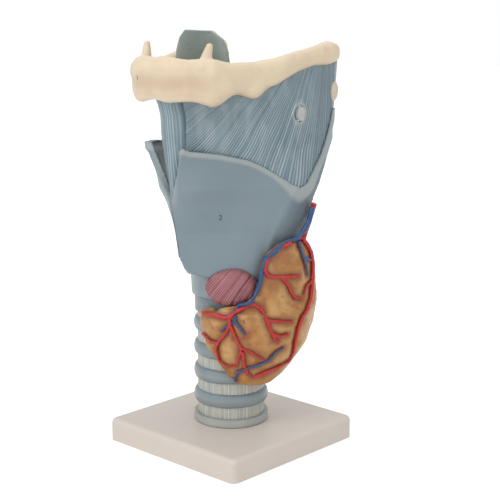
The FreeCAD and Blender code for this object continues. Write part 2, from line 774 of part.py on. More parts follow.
def vocal_process_tip():
    foot = arytenoid_foot()
    return foot + Vector(-mm.vocal_process_reach * 0.38, -mm.vocal_process_reach * 0.925, 0)


def arytenoid_bore(radius):
    foot = arytenoid_foot()
    start = Vector(foot.x, foot.y, cricoid_top.value - mm.arytenoid_pin_depth)
    return rod(start, Vector(0, 0, 1), mm.arytenoid_pin_depth + mm.arytenoid_pin_height, radius)


def arytenoid():
    """A three-sided pyramid with a pointed process forward and a blunt one to the side."""
    foot = arytenoid_foot()
    broad = mm.muscular_process_reach
    wires = []
    for rise_share, spread_share, shift_x, shift_y in ((0.0, 1.0, 0.0, 0.0), (0.30, 0.80, -0.02, 0.06),
                                                       (0.70, 0.44, -0.14, 0.24), (1.0, 0.26, -0.24, 0.36)):
        centre = foot + Vector(shift_x * broad, shift_y * broad, rise_share * mm.arytenoid_height)
        corners = [centre + Vector(x * broad * spread_share, y * broad * spread_share, 0)
                   for x, y in ARYTENOID_BASE_SHARES]
        wires.append(Part.makePolygon(corners + corners[:1]))
    body = loft(wires)
    tip = vocal_process_tip()
    thin = mm.fold_width * 0.5
    tall = mm.arytenoid_height * 0.16
    wires = []
    for place, width, height in ((foot + Vector(-broad * 0.2, -broad * 0.1, 0), thin * 1.8, tall * 1.5),
                                 (tip, thin, tall * 0.8)):
        corners = [place + Vector(-width / 2, 0, 0), place + Vector(width / 2, 0, 0),
                   place + Vector(width / 2, 0, height), place + Vector(-width / 2, 0, height)]
        wires.append(Part.makePolygon(corners + corners[:1]))
    process = loft(wires)
    side_tip = foot + Vector(broad * 0.92, broad * 0.30, 0)
    wires = []
    for place, width, height in ((foot + Vector(broad * 0.2, 0, 0), broad * 0.8, tall * 1.6),
                                 (side_tip, broad * 0.45, tall)):
        corners = [place + Vector(0, -width / 2, 0), place + Vector(0, width / 2, 0),
                   place + Vector(0, width / 2, height), place + Vector(0, -width / 2, height)]
        wires.append(Part.makePolygon(corners + corners[:1]))
    side = loft(wires)
    bore = arytenoid_bore(mm.arytenoid_pin_radius + mm.running_clearance)
    return largest(body.fuse([process, side]).cut(bore))


def corniculate():
    """The small horn on the apex, which bends backwards and to the middle."""
    foot = arytenoid_foot()
    broad = mm.muscular_process_reach
    wires = []
    for rise_share, spread_share, shift_x, shift_y in ((0.0, 0.26, -0.24, 0.36), (0.5, 0.21, -0.32, 0.52),
                                                       (1.0, 0.08, -0.44, 0.78)):
        centre = foot + Vector(shift_x * broad, shift_y * broad,
                               mm.arytenoid_height + rise_share * mm.corniculate_length)
        corners = [centre + Vector(x * broad * spread_share, y * broad * spread_share, 0)
                   for x, y in ARYTENOID_BASE_SHARES]
        wires.append(Part.makePolygon(corners + corners[:1]))
    return loft(wires)


# Rear muscle: height share, bearings of its two borders and share of its thickness.

REAR_MUSCLE_SHARES = (
    (0.16, 66.0, 84.0, 0.5), (0.32, 56.0, 85.0, 1.0), (0.60, 52.0, 84.0, 1.0), (0.90, 50.0, 66.0, 0.7),
)


def rear_muscle():
    """The fan-shaped muscle on the left half of the cricoid's back."""
    wires = []
    for height_share, start, end, thick_share in REAR_MUSCLE_SHARES:
        z = cricoid_foot.value + height_share * mm.cricoid_back_height
        middle = (start + end) / 2
        slope = (end - start) / 12
        swell = mm.rear_muscle_thickness * thick_share
        inner = [polar(bearing, mm.cricoid_radius, z) for bearing in (start, middle, end)]
        outer = [polar(start + slope, mm.cricoid_radius + swell * 0.5, z),
                 polar(middle, mm.cricoid_radius + swell, z),
                 polar(end - slope, mm.cricoid_radius + swell * 0.5, z)]
        edges = [
            Part.Arc(*inner).toShape(),
            Part.makeLine(inner[2], outer[2]),
            Part.Arc(*outer[::-1]).toShape(),
            Part.makeLine(outer[0], inner[0]),
        ]
        wires.append(Part.Wire(edges))
    drum = rod(Vector(0, 0, cricoid_foot.value), Vector(0, 0, 1), mm.cricoid_back_height, mm.cricoid_radius)
    return largest(loft(wires).cut(drum))


# Cricothyroid muscle: an oval pad over the gap between the two cartilages.

MUSCLE_BEARING = -46.0


def muscle_oval(swell):
    """The oval of the left muscle, grown on every side by a swell."""
    turn = math.radians(MUSCLE_BEARING)
    out = Vector(math.cos(turn), math.sin(turn), 0)
    centre = out * mm.muscle_radius
    centre.z = thyroid_foot.value + mm.muscle_half_height * 0.08
    half_thick = mm.muscle_thickness * 1.15 + swell
    half_long = mm.muscle_half_length + swell
    half_tall = mm.muscle_half_height + swell
    along = Vector(-out.y, out.x, 0)
    wires = []
    for station in range(1, 12):
        swing = math.radians(15 * station)
        middle = centre - along * (math.cos(swing) * half_long)
        ring = []
        for count in range(18):
            around = math.radians(20 * count)
            ring.append(middle + out * (math.cos(around) * math.sin(swing) * half_thick)
                        + Vector(0, 0, math.sin(around) * math.sin(swing) * half_tall))
        wires.append(Part.makePolygon(ring + ring[:1]))
    return loft(wires)


def cricothyroid_muscle(wall_block):
    drum = rod(Vector(0, 0, cricoid_foot.value - mm.overrun), Vector(0, 0, 1), mm.cricoid_back_height,
               mm.cricoid_radius + mm.midline_clearance)
    return largest(muscle_oval(0.0).cut(wall_block).cut(drum))


# Cricothyroid ligament: a cone that opens forward, cut short on the left by the muscle.
# Each level holds its height above the arch as a share of the arch's height, the bearings of
# its points, and how far each stands forward between the cricoid and the thyroid angle.

CONE_LEVEL_SHARES = (
    (-0.35, (-166, -134, -103, -71, -40), (0.00, 0.00, 0.00, 0.00, 0.00)),
    (0.25, (-166, -135, -105, -75, -44), (0.04, 0.04, 0.04, 0.04, 0.04)),
    (1.52, (-166, -138, -112, -94, -84), (0.09, 0.065, 0.33, 0.86, 0.86)),
)


def cricothyroid_ligament():
    """The cone from the cricoid's arch up inside the thyroid cartilage."""
    near = mm.cricoid_radius
    far = mm.thyroid_reach * 0.62
    wires = []
    for height_share, bearings, forward_shares in CONE_LEVEL_SHARES:
        z = arch_top.value + height_share * mm.cricoid_arch_height
        radii = [near + (far - near) * share for share in forward_shares]
        outer = [polar(bearing, radius + mm.membrane_wall, z) for bearing, radius in zip(bearings, radii)]
        inner = [polar(bearing, radius, z) for bearing, radius in zip(bearings, radii)]
        edges = [
            curve_through(outer),
            Part.makeLine(outer[-1], inner[-1]),
            curve_through(inner[::-1]),
            Part.makeLine(inner[0], outer[0]),
        ]
        wires.append(Part.Wire(edges))
    axis = Vector(0, 0, 1)
    drum = rod(Vector(0, 0, cricoid_foot.value), axis, mm.cricoid_back_height, near)
    return largest(loft(wires).cut([drum, muscle_oval(mm.seam_clearance)]))


# Way that the gland lifts off, to the front left.

GLAND_WAY = (0.8, -0.6, 0.0)

# Thyroid gland: the left lobe as a shell about the axis of the trachea.
# Each level holds its height share, the bearing where it starts and ends in degrees from +X,
# four outer radii and the depth there, as shares of the half width and of the depth.

GLAND_LEVEL_SHARES = (
    (0.000, -38, 2, (0.70, 0.80, 0.82, 0.78), (0.15, 0.45, 0.45, 0.15)),
    (0.055, -50, 14, (0.66, 0.825, 0.900, 0.85), (0.25, 0.95, 0.95, 0.30)),
    (0.160, -64, 25, (0.655, 0.815, 0.960, 0.98), (0.35, 1.00, 1.25, 0.40)),
    (0.270, -80, 31, (0.635, 0.810, 0.995, 1.115), (0.30, 1.00, 1.35, 0.45)),
    (0.385, -88, 33, (0.640, 0.820, 1.040, 1.175), (0.33, 1.05, 1.45, 0.45)),
    (0.512, -87, 33, (0.660, 0.840, 1.060, 1.210), (0.30, 0.95, 1.45, 0.50)),
    (0.552, -52, 33, (0.770, 0.900, 1.080, 1.220), (0.30, 0.65, 1.35, 0.50)),
    (0.610, -28, 32, (0.850, 0.970, 1.100, 1.225), (0.25, 0.65, 1.15, 0.50)),
    (0.710, -20, 31, (0.885, 1.010, 1.120, 1.225), (0.25, 0.70, 0.95, 0.50)),
    (0.820, -19, 29, (0.880, 1.005, 1.120, 1.205), (0.25, 0.70, 0.80, 0.45)),
    (0.920, -12, 27, (0.905, 1.020, 1.110, 1.160), (0.25, 0.60, 0.70, 0.40)),
    (0.985, -1, 22, (0.950, 1.035, 1.085, 1.110), (0.18, 0.40, 0.42, 0.20)),
)


def gland_foot():
    return arch_top.value + mm.cricoid_arch_height * 0.42 - mm.gland_height * 0.72


def polar(bearing, radius, height):
    turn = math.radians(bearing)
    return Vector(math.cos(turn) * radius, math.sin(turn) * radius, height)


def gland_room(wall_block):
    """What the lobe stays clear of: trachea, cricoid, lamina and muscle, with the clearance."""
    gap = mm.gland_clearance
    low = Vector(0, 0, mm.base_height)
    trachea = rod(low, Vector(0, 0, 1), mm.trachea_length, mm.ring_radius + gap)
    drum = rod(Vector(0, 0, cricoid_foot.value), Vector(0, 0, 1), mm.cricoid_back_height, mm.cricoid_radius + gap)
    return trachea.fuse([drum, wall_block, muscle_oval(gap)])


def gland_peg(radius, extra=0.0):
    """A peg that stands square on the fourth ring and points along the way the gland lifts off."""
    level = mm.base_height + mm.first_ring_rise + mm.ring_pitch * 3
    out = Vector(*GLAND_WAY)
    return rod(out * mm.ring_radius + Vector(0, 0, level), out, mm.peg_length + extra, radius)


def gland_lobe(keep_out):
    wires = []
    for height_share, start, end, radius_shares, depth_shares in GLAND_LEVEL_SHARES:
        z = gland_foot() + height_share * mm.gland_height
        outer = []
        inner = []
        for number, (radius_share, depth_share) in enumerate(zip(radius_shares, depth_shares)):
            bearing = start + (end - start) * number / 3
            radius = radius_share * mm.gland_half_width
            outer.append(polar(bearing, radius, z))
            inner.append(polar(bearing, radius - depth_share * mm.gland_depth, z))
        edges = [
            curve_through(outer),
            Part.makeLine(outer[-1], inner[-1]),
            curve_through(inner[::-1]),
            Part.makeLine(inner[0], outer[0]),
        ]
        wires.append(Part.Wire(edges))
    return largest(loft(wires).cut(keep_out))


# Vessels: each run is a list of (bearing in degrees, height share) on the gland's face.

ARTERY_RUNS = {
    "left_branch": (
        (15, 0.992), (5, 0.976), (-4, 0.955), (-10, 0.915), (-14, 0.865), (-15.5, 0.810), (-13.5, 0.775),
        (-10, 0.765), (-2, 0.758), (6, 0.754), (12.5, 0.746),
    ),
    "right_branch": (
        (18.5, 0.985), (22, 0.950), (25, 0.895), (26, 0.810), (25.5, 0.725), (25, 0.635), (23, 0.565),
        (17.5, 0.510), (12.5, 0.465), (9, 0.385), (9.5, 0.290), (11, 0.210), (9, 0.150), (-3, 0.123),
        (-14.5, 0.098), (-23, 0.070),
    ),
    "isthmus_branch": (
        (-79, 0.493), (-63, 0.499), (-52, 0.487), (-46, 0.500), (-41, 0.530), (-31, 0.570), (-25, 0.580),
        (-20, 0.555), (-17, 0.488), (-14, 0.415), (-10, 0.340), (-6, 0.315),
    ),
}
ARTERY_TWIGS = (
    ((-3, 0.755), (2, 0.702), (5.5, 0.636), (8.5, 0.600), (14.5, 0.586)),
    ((25.5, 0.700), (19, 0.660), (17, 0.610)),
    ((-16, 0.478), (-6.5, 0.462), (3.5, 0.450)),
    ((-13, 0.385), (-5.5, 0.354), (1.5, 0.360)),
    ((-47, 0.490), (-47, 0.448), (-50.5, 0.382), (-59, 0.309), (-63, 0.248), (-60.5, 0.173), (-51.5, 0.136),
     (-40, 0.147), (-37.5, 0.233), (-36.5, 0.270)),
    ((-84, 0.340), (-71, 0.303), (-60, 0.300)),
    ((-46.5, 0.440), (-42, 0.360), (-36.5, 0.280), (-26.5, 0.244), (-16.5, 0.194)),
    ((-35, 0.250), (-33, 0.150), (-30, 0.100), (-25, 0.062)),
)
VEIN_RUNS = {
    "edge_vein": (
        (8, 0.990), (-1, 0.972), (-8, 0.947), (-14, 0.888), (-18, 0.810), (-19, 0.740), (-22, 0.672),
        (-30, 0.610), (-38, 0.575), (-42, 0.530),
    ),
    "rear_vein": ((13, 0.985), (13.5, 0.950), (16, 0.867), (18.5, 0.792), (20, 0.736)),
    "rear_twig": ((16, 0.867), (21, 0.848), (28, 0.826)),
    "isthmus_vein": ((-42, 0.510), (-42, 0.469), (-49, 0.437), (-56, 0.387)),
    "isthmus_twig": ((-41.5, 0.460), (-37, 0.418), (-33.5, 0.380)),
    "foot_vein": (
        (-41.5, 0.028), (-39.5, 0.100), (-30, 0.132), (-19.5, 0.158), (-11.5, 0.190), (-7.5, 0.233),
        (-0.5, 0.267),
    ),
}


def on_gland(gland, bearing, height_share):
    """The place on the lobe's outer face at a bearing and a height share."""
    z = gland_foot() + height_share * mm.gland_height
    axis_point = Vector(0, 0, z)
    far_point = polar(bearing, mm.gland_half_width * 2, z)
    hits = gland.common(Part.makeLine(axis_point, far_point)).Vertexes
    if not hits:
        return polar(bearing, mm.gland_half_width, z)
    return max((vertex.Point for vertex in hits), key=lambda point: point.distanceToPoint(axis_point))


def vessel(points, start_radius, end_radius):
    """A tapering tube of eight sides along straight runs, mitred where it turns."""
    wires = []
    last = len(points) - 1
    for number, point in enumerate(points):
        direction = points[min(number + 1, last)] - points[max(number - 1, 0)]
        direction.normalize()
        side = direction.cross(Vector(point.x, point.y, 0))
        side.normalize()
        up = direction.cross(side)
        radius = start_radius + (end_radius - start_radius) * number / last
        ring = []
        for count in range(8):
            turn = math.radians(45 * count + 22.5)
            ring.append(point + side * (math.cos(turn) * radius) + up * (math.sin(turn) * radius))
        wires.append(Part.makePolygon(ring + ring[:1]))
    return loft(wires)


def all_solids(shape):
    return [solid for solid in shape.Solids if solid.Volume > mm.twig_radius ** 3]


# Base plate: a slab with a recess under it for the screw and its cap.

def base_plate():
    body = new_body("base_plate")
    plan = sketch_on(body, "XY_Plane", "base_plan")
    draw_rounded_square(plan, cell.base_side, cell.base_corner_radius)
    slab = pad(body, plan, "base_slab", cell.base_height)
    doc.recompute()
    top_edges = ["Edge%d" % (number + 1) for number, edge in enumerate(slab.Shape.Edges)
                 if min(vertex.Z for vertex in edge.Vertexes) > mm.base_height - mm.base_edge_radius / 2]
    round_edges(body, slab, "base_top_edge", top_edges, cell.base_edge_radius)
    recess = sketch_on(body, "XY_Plane", "screw_recess_plan")
    draw_circle(recess, cell.washer_radius + cell.screw_clearance)
    pocket(body, recess, "screw_recess", screw_seat + cell.washer_height, reverse=True)
    hole = sketch_on(body, "XY_Plane", "screw_hole_plan")
    draw_circle(hole, cell.screw_radius + cell.screw_clearance)
    pocket(body, hole, "screw_hole", cell.base_height + cell.overrun, reverse=True)
    return keep(body)


def screw_cap():
    """The disc that closes the recess, level with the underside."""
    body = new_body("screw_cap")
    plan = sketch_on(body, "XY_Plane", "cap_plan")
    draw_circle(plan, cell.washer_radius + cell.screw_clearance - cell.cap_clearance)
    pad(body, plan, "cap_disc", cell.cap_height)
    return keep(body)


def base_screw():
    body = new_body("base_screw")
    foot = cell.cap_height
    head = screw_seat
    tip = cell.base_height + cell.screw_grip
    side = sketch_on(body, "XZ_Plane", "screw_side")
    draw_outline(side, [
        (nothing, foot), (cell.screw_head_radius * 0.72, foot),
        (cell.screw_head_radius, foot + cell.screw_head_height * 0.45), (cell.screw_head_radius, head),
        (cell.screw_radius, head), (cell.screw_radius, tip),
        (cell.screw_radius * 0.4, tip + cell.screw_radius), (nothing, tip + cell.screw_radius),
    ])
    revolve(body, side, "screw_form")
    slot = sketch_on(body, "XY_Plane", "screw_slot_plan", foot)
    half = cell.screw_slot_width * 0.5
    reach = cell.screw_head_radius + cell.overrun
    draw_outline(slot, [(-reach, -half), (reach, -half), (reach, half), (-reach, half)])
    pocket(body, slot, "screw_slot", cell.screw_slot_depth, reverse=True)
    return keep(body)


def base_washer():
    body = new_body("base_washer")
    plan = sketch_on(body, "XY_Plane", "washer_plan", screw_seat)
    draw_circle(plan, cell.washer_radius)
    draw_circle(plan, cell.screw_radius + cell.screw_clearance)
    pad(body, plan, "washer_disc", cell.washer_height)
    return keep(body)


def trachea_end_plug():
    body = new_body("trachea_end_plug")
    top = cell.base_height + cell.plug_height
    depth = cell.base_height + cell.screw_grip
    bottom = depth + cell.screw_radius
    side = sketch_on(body, "XZ_Plane", "plug_side")
    draw_outline(side, [
        (cell.screw_radius, cell.base_height), (cell.bore_radius, cell.base_height), (cell.bore_radius, top),
        (nothing, top), (nothing, bottom), (cell.screw_radius * 0.4, bottom), (cell.screw_radius, depth),
    ])
    revolve(body, side, "plug_form")
    return keep(body)


def trachea_tube():
    body = new_body("trachea_tube")
    plan = sketch_on(body, "XY_Plane", "tube_plan", cell.base_height)
    draw_circle(plan, cell.tube_radius)
    draw_circle(plan, cell.bore_radius)
    pad(body, plan, "tube_wall", cell.trachea_length)
    return keep(body)


def tracheal_collar():
    body = new_body("tracheal_collar")
    plan = sketch_on(body, "XY_Plane", "collar_plan", cell.base_height)
    draw_circle(plan, cell.ring_radius)
    draw_circle(plan, cell.tube_radius)
    pad(body, plan, "collar_wall", cell.collar_height)
    return keep(body)


def tracheal_ring(number):
    """A ring of cartilage that stays open at the back, with a bulging outside."""
    body = new_body("tracheal_ring_%d" % number)
    middle = cell.base_height + cell.first_ring_rise + cell.ring_pitch * (number - 1)
    half = cell.ring_height * 0.5
    inside = -cell.tube_radius
    shoulder = -(cell.ring_radius - cell.ring_shoulder)
    side = sketch_on(body, "YZ_Plane", "ring_side_%d" % number)
    draw_outline(side, [
        (inside, middle - half), (shoulder, middle - half * 0.72), (-cell.ring_radius, middle),
        (shoulder, middle + half * 0.72), (inside, middle + half),
    ])
    revolve(body, side, "ring_form_%d" % number, 360.0 - mm.ring_gap_angle, "360 - Sizes.ring_gap_angle")
    return keep(body)


def cricoid_cartilage():
    """A signet ring: a low arch in front that climbs to a tall plate behind."""
    body = new_body("cricoid_cartilage")
    plan = sketch_on(body, "XY_Plane", "cricoid_plan", cricoid_foot)
    draw_circle(plan, cell.cricoid_radius)
    draw_circle(plan, cell.bore_radius)
    pad(body, plan, "cricoid_wall", cell.cricoid_back_height)
    side = sketch_on(body, "YZ_Plane", "cricoid_slope")
    radius = cell.cricoid_radius
    arch = cell.cricoid_arch_height
    front = -(radius + cell.overrun)
    draw_outline(side, [
        (front, arch_top), (-radius * 0.42, arch_top), (radius * 0.05, arch_top + arch * 0.42),
        (radius * 0.36, cricoid_top - arch * 0.34), (radius * 0.52, cricoid_top),
        (radius * 0.52, cricoid_top + cell.overrun), (front, cricoid_top + cell.overrun),
    ])
    pocket(body, side, "cricoid_cut", (cell.cricoid_radius + cell.overrun) * 2, both_ways=True)
    boss = sketch_on(body, "YZ_Plane", "horn_boss_plan")
    draw_circle(boss, cell.horn_boss_radius, horn_seat_forward, horn_seat_level)
    shoulders = pad(body, boss, "horn_bosses", horn_seat_reach * 2)
    shoulders.SideType = "Symmetric"
    clear = sketch_on(body, "XY_Plane", "cricoid_bore_plan", cricoid_foot)
    draw_circle(clear, cell.bore_radius)
    pocket(body, clear, "cricoid_bore", cell.cricoid_back_height + cell.overrun, reverse=True)
    for name, across in (("left", cell.arytenoid_spread), ("right", -cell.arytenoid_spread)):
        hole = sketch_on(body, "XY_Plane", "pin_hole_%s" % name, cricoid_top)
        draw_circle(hole, cell.arytenoid_pin_radius, across, cell.arytenoid_setback)
        pocket(body, hole, "pin_seat_%s" % name, cell.arytenoid_pin_depth)
    return keep(body)


doc.recompute()
base_plate()
screw_cap()
base_screw()
base_washer()
trachea_end_plug()
trachea_tube()
tracheal_collar()
for ring_number in range(1, 5):
    tracheal_ring(ring_number)
cricoid_cartilage()
doc.recompute()

# Free forms, each shaped against the ones that it seats on.

bone = hyoid_bone()
near_wall = wall_strip(WALL_LEVEL_SHARES, -mm.midline_clearance, mm.lamina_wall + mm.midline_clearance)
ligament = front_ligament(bone, near_wall)
horn_tip, bone_tip = rear_ligament_line()
cord_way = bone_tip - horn_tip
pearl = bead(horn_tip + cord_way * BEAD_SHARE, cord_way, mm.bead_length, mm.bead_radius)
cord = rod(horn_tip, cord_way, cord_way.Length, mm.rear_ligament_radius).cut(pearl).cut(bone)
nerve_middle, nerve_out = nerve_place()
nerve_stub = oval_prism(nerve_middle, nerve_out, mm.nerve_hole_half_width - mm.seam_clearance,
                        mm.nerve_hole_half_height - mm.seam_clearance, mm.nerve_stub_length)

seat_start = Vector(0, horn_seat_forward.value, horn_seat_level.value)
seat_room = rod(seat_start, Vector(1, 0, 0), horn_seat_reach.value + mm.seam_clearance,
                mm.horn_boss_radius + mm.seam_clearance)
peg_start = seat_start + Vector(horn_seat_reach.value, 0, 0)
horn_peg = rod(peg_start, Vector(1, 0, 0), mm.horn_peg_length, mm.peg_radius)
peg_bore_radius = mm.peg_radius + mm.running_clearance
peg_room = rod(peg_start, Vector(1, 0, 0), mm.horn_peg_length + mm.seam_clearance, peg_bore_radius)
lamina = thyroid_lamina(LEFT_UPPER_SHARES, LEFT_LOWER_SHARES)

muscle = cricothyroid_muscle(near_wall)
far_wall = wall_strip(WALL_LEVEL_SHARES, -mm.gland_clearance, mm.lamina_wall + mm.gland_clearance)
gland_peg_room = gland_peg(peg_bore_radius, mm.seam_clearance)
kept_clear = gland_room(far_wall)
gland = largest(gland_lobe(kept_clear).cut(gland_peg_room))

arytenoid_form = arytenoid()
vocal_fold_form = vocal_fold()
left_fold_pin, right_fold_pin = fold_pins(mm.fold_pin_radius)

lesser_root = Vector(mm.hyoid_half_width * 0.521, -mm.hyoid_reach * 0.752,
                     hyoid_level.value + mm.hyoid_half_height * 0.80)
lesser_way = Vector(0.15, 0.22, 0.95)
lesser_horn = Part.makeCone(mm.lesser_horn_radius, mm.lesser_horn_radius * 0.45, mm.lesser_horn_length,
                            lesser_root, lesser_way).cut(bone)

PAIRS = (
    ("horn_peg", horn_peg),
    ("lateral_thyrohyoid_ligament", cord),
    ("triticeal_cartilage", pearl),
    ("laryngeal_nerve_stub", nerve_stub),
    ("lesser_horn", lesser_horn),
    ("arytenoid_cartilage", arytenoid_form),
    ("corniculate_cartilage", corniculate()),
    ("arytenoid_pin", arytenoid_bore(mm.arytenoid_pin_radius)),
    ("vocal_fold", vocal_fold_form),
    ("vestibular_fold", vestibular_fold()),
    ("fold_pin", left_fold_pin),
    ("rear_cricoarytenoid_muscle", rear_muscle()),
)
for name, shape in PAIRS:
    solid_part(name + "_left", shape)
    solid_part(name + "_right", mirrored(shape))

solid_part("thyroid_lamina_left", lamina)
solid_part("thyroid_lamina_right", mirrored(thyroid_lamina(RIGHT_UPPER_SHARES, RIGHT_LOWER_SHARES)))
solid_part("thyrohyoid_membrane_left", thyrohyoid_membrane(LEFT_UPPER_SHARES))
solid_part("thyrohyoid_membrane_right", mirrored(thyrohyoid_membrane(RIGHT_UPPER_SHARES)))
solid_part("hyoid_bone", bone)
solid_part("median_thyrohyoid_ligament", ligament)
solid_part("cricothyroid_muscle_left", muscle)
solid_part("cricothyroid_ligament", cricothyroid_ligament())
solid_part("epiglottis", epiglottis())
solid_part("epiglottis_pin", hinge_pin(mm.hinge_pin_radius))
solid_part("epiglottic_fat_pad", fat_pad(bone, ligament))
solid_part("commissure_block", commissure_block(lamina))
solid_part("gland_lobe_left", gland)
solid_part("gland_peg", gland_peg(mm.peg_radius))

# Vessels on the gland. The trunks rise beside the rear border of the lamina.

TRUNK_SHARES = ((27.3, 1.225, 1.200), (27.5, 1.150, 1.155), (23.5, 1.070, 1.125), (19.5, 1.005, 1.105))
VEIN_TRUNK_SHARES = ((22.6, 1.205, 1.200), (20.5, 1.110, 1.165), (17.0, 1.050, 1.115), (11.0, 1.000, 1.050))


def trunk_points(table):
    return [polar(bearing, radius_share * mm.gland_half_width, gland_foot() + height_share * mm.gland_height)
            for bearing, height_share, radius_share in table]


def run_points(route):
    return [on_gland(gland, bearing, height_share) for bearing, height_share in route]


def laid(tubes):
    """Vessels laid on the gland: what stands above its face and clear of the stand, joined."""
    shown = [tube.cut(gland).cut(kept_clear) for tube in tubes]
    tree = shown[0]
    for tube in shown[1:]:
        tree = tree.fuse(tube)
    return tree


artery_trunk = trunk_points(TRUNK_SHARES)
artery = mm.artery_radius
vein = mm.vein_radius
twig = mm.twig_radius
left_artery = vessel(artery_trunk + run_points(ARTERY_RUNS["left_branch"]), artery, twig)
right_artery = vessel(artery_trunk[-1:] + run_points(ARTERY_RUNS["right_branch"]), artery, twig)
isthmus_artery = vessel(run_points(ARTERY_RUNS["isthmus_branch"]), artery, twig)
twigs = [vessel(run_points(route), twig * 1.1, twig * 0.7) for route in ARTERY_TWIGS]
vein_trunk = trunk_points(VEIN_TRUNK_SHARES)
main_vein = vessel(vein_trunk + run_points(VEIN_RUNS["edge_vein"]), vein, vein * 0.65)
rear_veins = [vessel(run_points(VEIN_RUNS[name]), vein * 0.65, twig * 0.7)
              for name in ("rear_vein", "rear_twig")]
low_veins = [vessel(run_points(VEIN_RUNS[name]), vein * 0.6, twig * 0.7)
             for name in ("isthmus_vein", "isthmus_twig", "foot_vein")]

arteries = {
    "superior_thyroid_artery": laid([left_artery, right_artery] + twigs[:2]),
    "isthmus_artery": laid([isthmus_artery] + twigs[2:]),
}
veins = {
    "superior_thyroid_vein": laid([main_vein] + rear_veins),
    "inferior_thyroid_veins": laid(low_veins),
}
for name, tree in arteries.items():
    solid_part(name, Part.makeCompound(all_solids(tree)))
for name, tree in veins.items():
    for red in arteries.values():
        tree = tree.cut(red)
    solid_part(name, Part.makeCompound(all_solids(tree)))

doc.recompute()
os.makedirs("parts", exist_ok=True)
for obj in parts:
    if "Invalid" in obj.State or "Error" in obj.State:
        raise RuntimeError("%s did not build: %s" % (obj.Label, obj.State))
    if obj.Shape.isNull() or not obj.Shape.isValid():
        raise RuntimeError("%s has no sound shape" % obj.Label)
for obj in parts:
    obj.Shape.exportStep("parts/%s.step" % obj.Label)
    box = obj.Shape.BoundBox
    print("%-30s solids %d volume %9.1f" % (obj.Label, len(obj.Shape.Solids), obj.Shape.Volume))
    print("  from %7.1f %7.1f %7.1f to %7.1f %7.1f %7.1f" % (
        box.XMin, box.YMin, box.ZMin, box.XMax, box.YMax, box.ZMax))
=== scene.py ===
"""Looks of a take-apart larynx model on its stand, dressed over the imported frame.

Lengths in the tables are millimetres in the frame of the part: the origin lies under the middle of
the stand, -Y is the front of the neck, +X its left side and +Z is up.
"""

import json
import logging
import math
from collections.abc import Callable, Sequence
from dataclasses import dataclass, field
from enum import Enum
from itertools import product

import bmesh
import bpy
import numpy as np
from mathutils import Matrix, Vector
from mathutils.kdtree import KDTree

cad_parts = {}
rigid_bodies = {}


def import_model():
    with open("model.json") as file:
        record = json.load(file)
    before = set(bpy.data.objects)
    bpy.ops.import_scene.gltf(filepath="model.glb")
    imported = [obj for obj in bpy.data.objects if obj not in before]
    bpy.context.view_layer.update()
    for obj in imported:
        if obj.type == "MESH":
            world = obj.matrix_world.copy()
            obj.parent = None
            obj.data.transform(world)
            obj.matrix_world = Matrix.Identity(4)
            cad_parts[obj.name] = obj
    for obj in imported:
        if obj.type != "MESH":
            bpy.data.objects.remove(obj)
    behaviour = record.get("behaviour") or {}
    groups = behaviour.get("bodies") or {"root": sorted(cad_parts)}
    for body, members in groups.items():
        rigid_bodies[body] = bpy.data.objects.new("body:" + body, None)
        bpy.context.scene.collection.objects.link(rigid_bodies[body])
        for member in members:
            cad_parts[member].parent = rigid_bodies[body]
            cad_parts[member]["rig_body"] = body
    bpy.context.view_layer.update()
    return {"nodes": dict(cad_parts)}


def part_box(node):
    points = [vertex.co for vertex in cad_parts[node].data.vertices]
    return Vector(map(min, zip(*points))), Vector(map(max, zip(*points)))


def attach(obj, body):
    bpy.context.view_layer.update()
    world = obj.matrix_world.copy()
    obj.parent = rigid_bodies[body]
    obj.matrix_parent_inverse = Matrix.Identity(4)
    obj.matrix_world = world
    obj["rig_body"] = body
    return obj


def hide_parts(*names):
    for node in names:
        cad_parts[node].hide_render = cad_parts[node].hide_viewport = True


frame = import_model()

LOG = logging.getLogger("larynx_model")
MM = 0.001
STAND = "stand"
WHITE = (1.0, 1.0, 1.0, 1.0)
HASH_STEPS = np.array([73856093, 19349663, 83492791])
HASH_SEED_STEP = 2654435
HASH_FACTOR = 1274126177

Array = np.ndarray
Colour = tuple[int, int, int]
Path = tuple[tuple[float, float], ...]


class Slot(Enum):
    """Material slots of the record."""

    BASE = "base_plastic"
    STEEL = "steel"
    CARTILAGE = "cartilage"
    LIGAMENT = "ligament"
    BONE = "bone"
    LEAF = "epiglottis_plastic"
    MUSCLE = "muscle"
    FOLD = "fold_plastic"
    FAT = "fat"
    GLAND = "gland_plastic"
    ARTERY = "artery_red"
    VEIN = "vein_blue"


class Side(Enum):
    """Halves of the larynx, with the sign of x on each."""

    LEFT = 1
    RIGHT = -1

    def named(self, node: str) -> str:
        """The node's name on this side."""
        return f"{node}_{self.name.lower()}"


class Mark(Enum):
    """Values stored on the points of a casting for its finish to read."""

    STRAND = "strand"
    # Painted highlight: lighter colour where light would catch raised edges, lips, tops and upward faces.
    RIM = "rim"
    # Painted shade in creases, grooves and dips and on inner, downward and turned-away faces; on the
    # membranes and the cricoid it also carries random darker patches of the paint.
    HOLLOW = "hollow"


# Surfaces over points


@dataclass
class Cloud:
    """Points of a casting in millimetres, with the unit vectors out of the surface there."""

    points: Array
    normals: Array

    @property
    def x(self) -> Array:
        """Places across."""
        return self.points[:, 0]

    @property
    def y(self) -> Array:
        """Places forward and back."""
        return self.points[:, 1]

    @property
    def z(self) -> Array:
        """Heights."""
        return self.points[:, 2]

    def outward(self) -> Array:
        """How far each point faces away from the windpipe's axis, from -1 to 1."""
        flat = self.points[:, :2]
        reach = np.maximum(np.linalg.norm(flat, axis=1), 1e-6)
        return (self.normals[:, :2] * flat).sum(axis=1) / reach

    def lumps(self, size: float, seed: int, upright: float = 1.0) -> Array:
        """Smooth lumps at the points, as the function of that name gives them."""
        return lumps(self.points, size, seed, upright)


@dataclass
class Shaping:
    """How far the points move out of the surface, and the marks that they carry."""

    push: Array
    marks: dict[Mark, Array] = field(default_factory=dict)


Rule = Callable[[Cloud], Shaping]


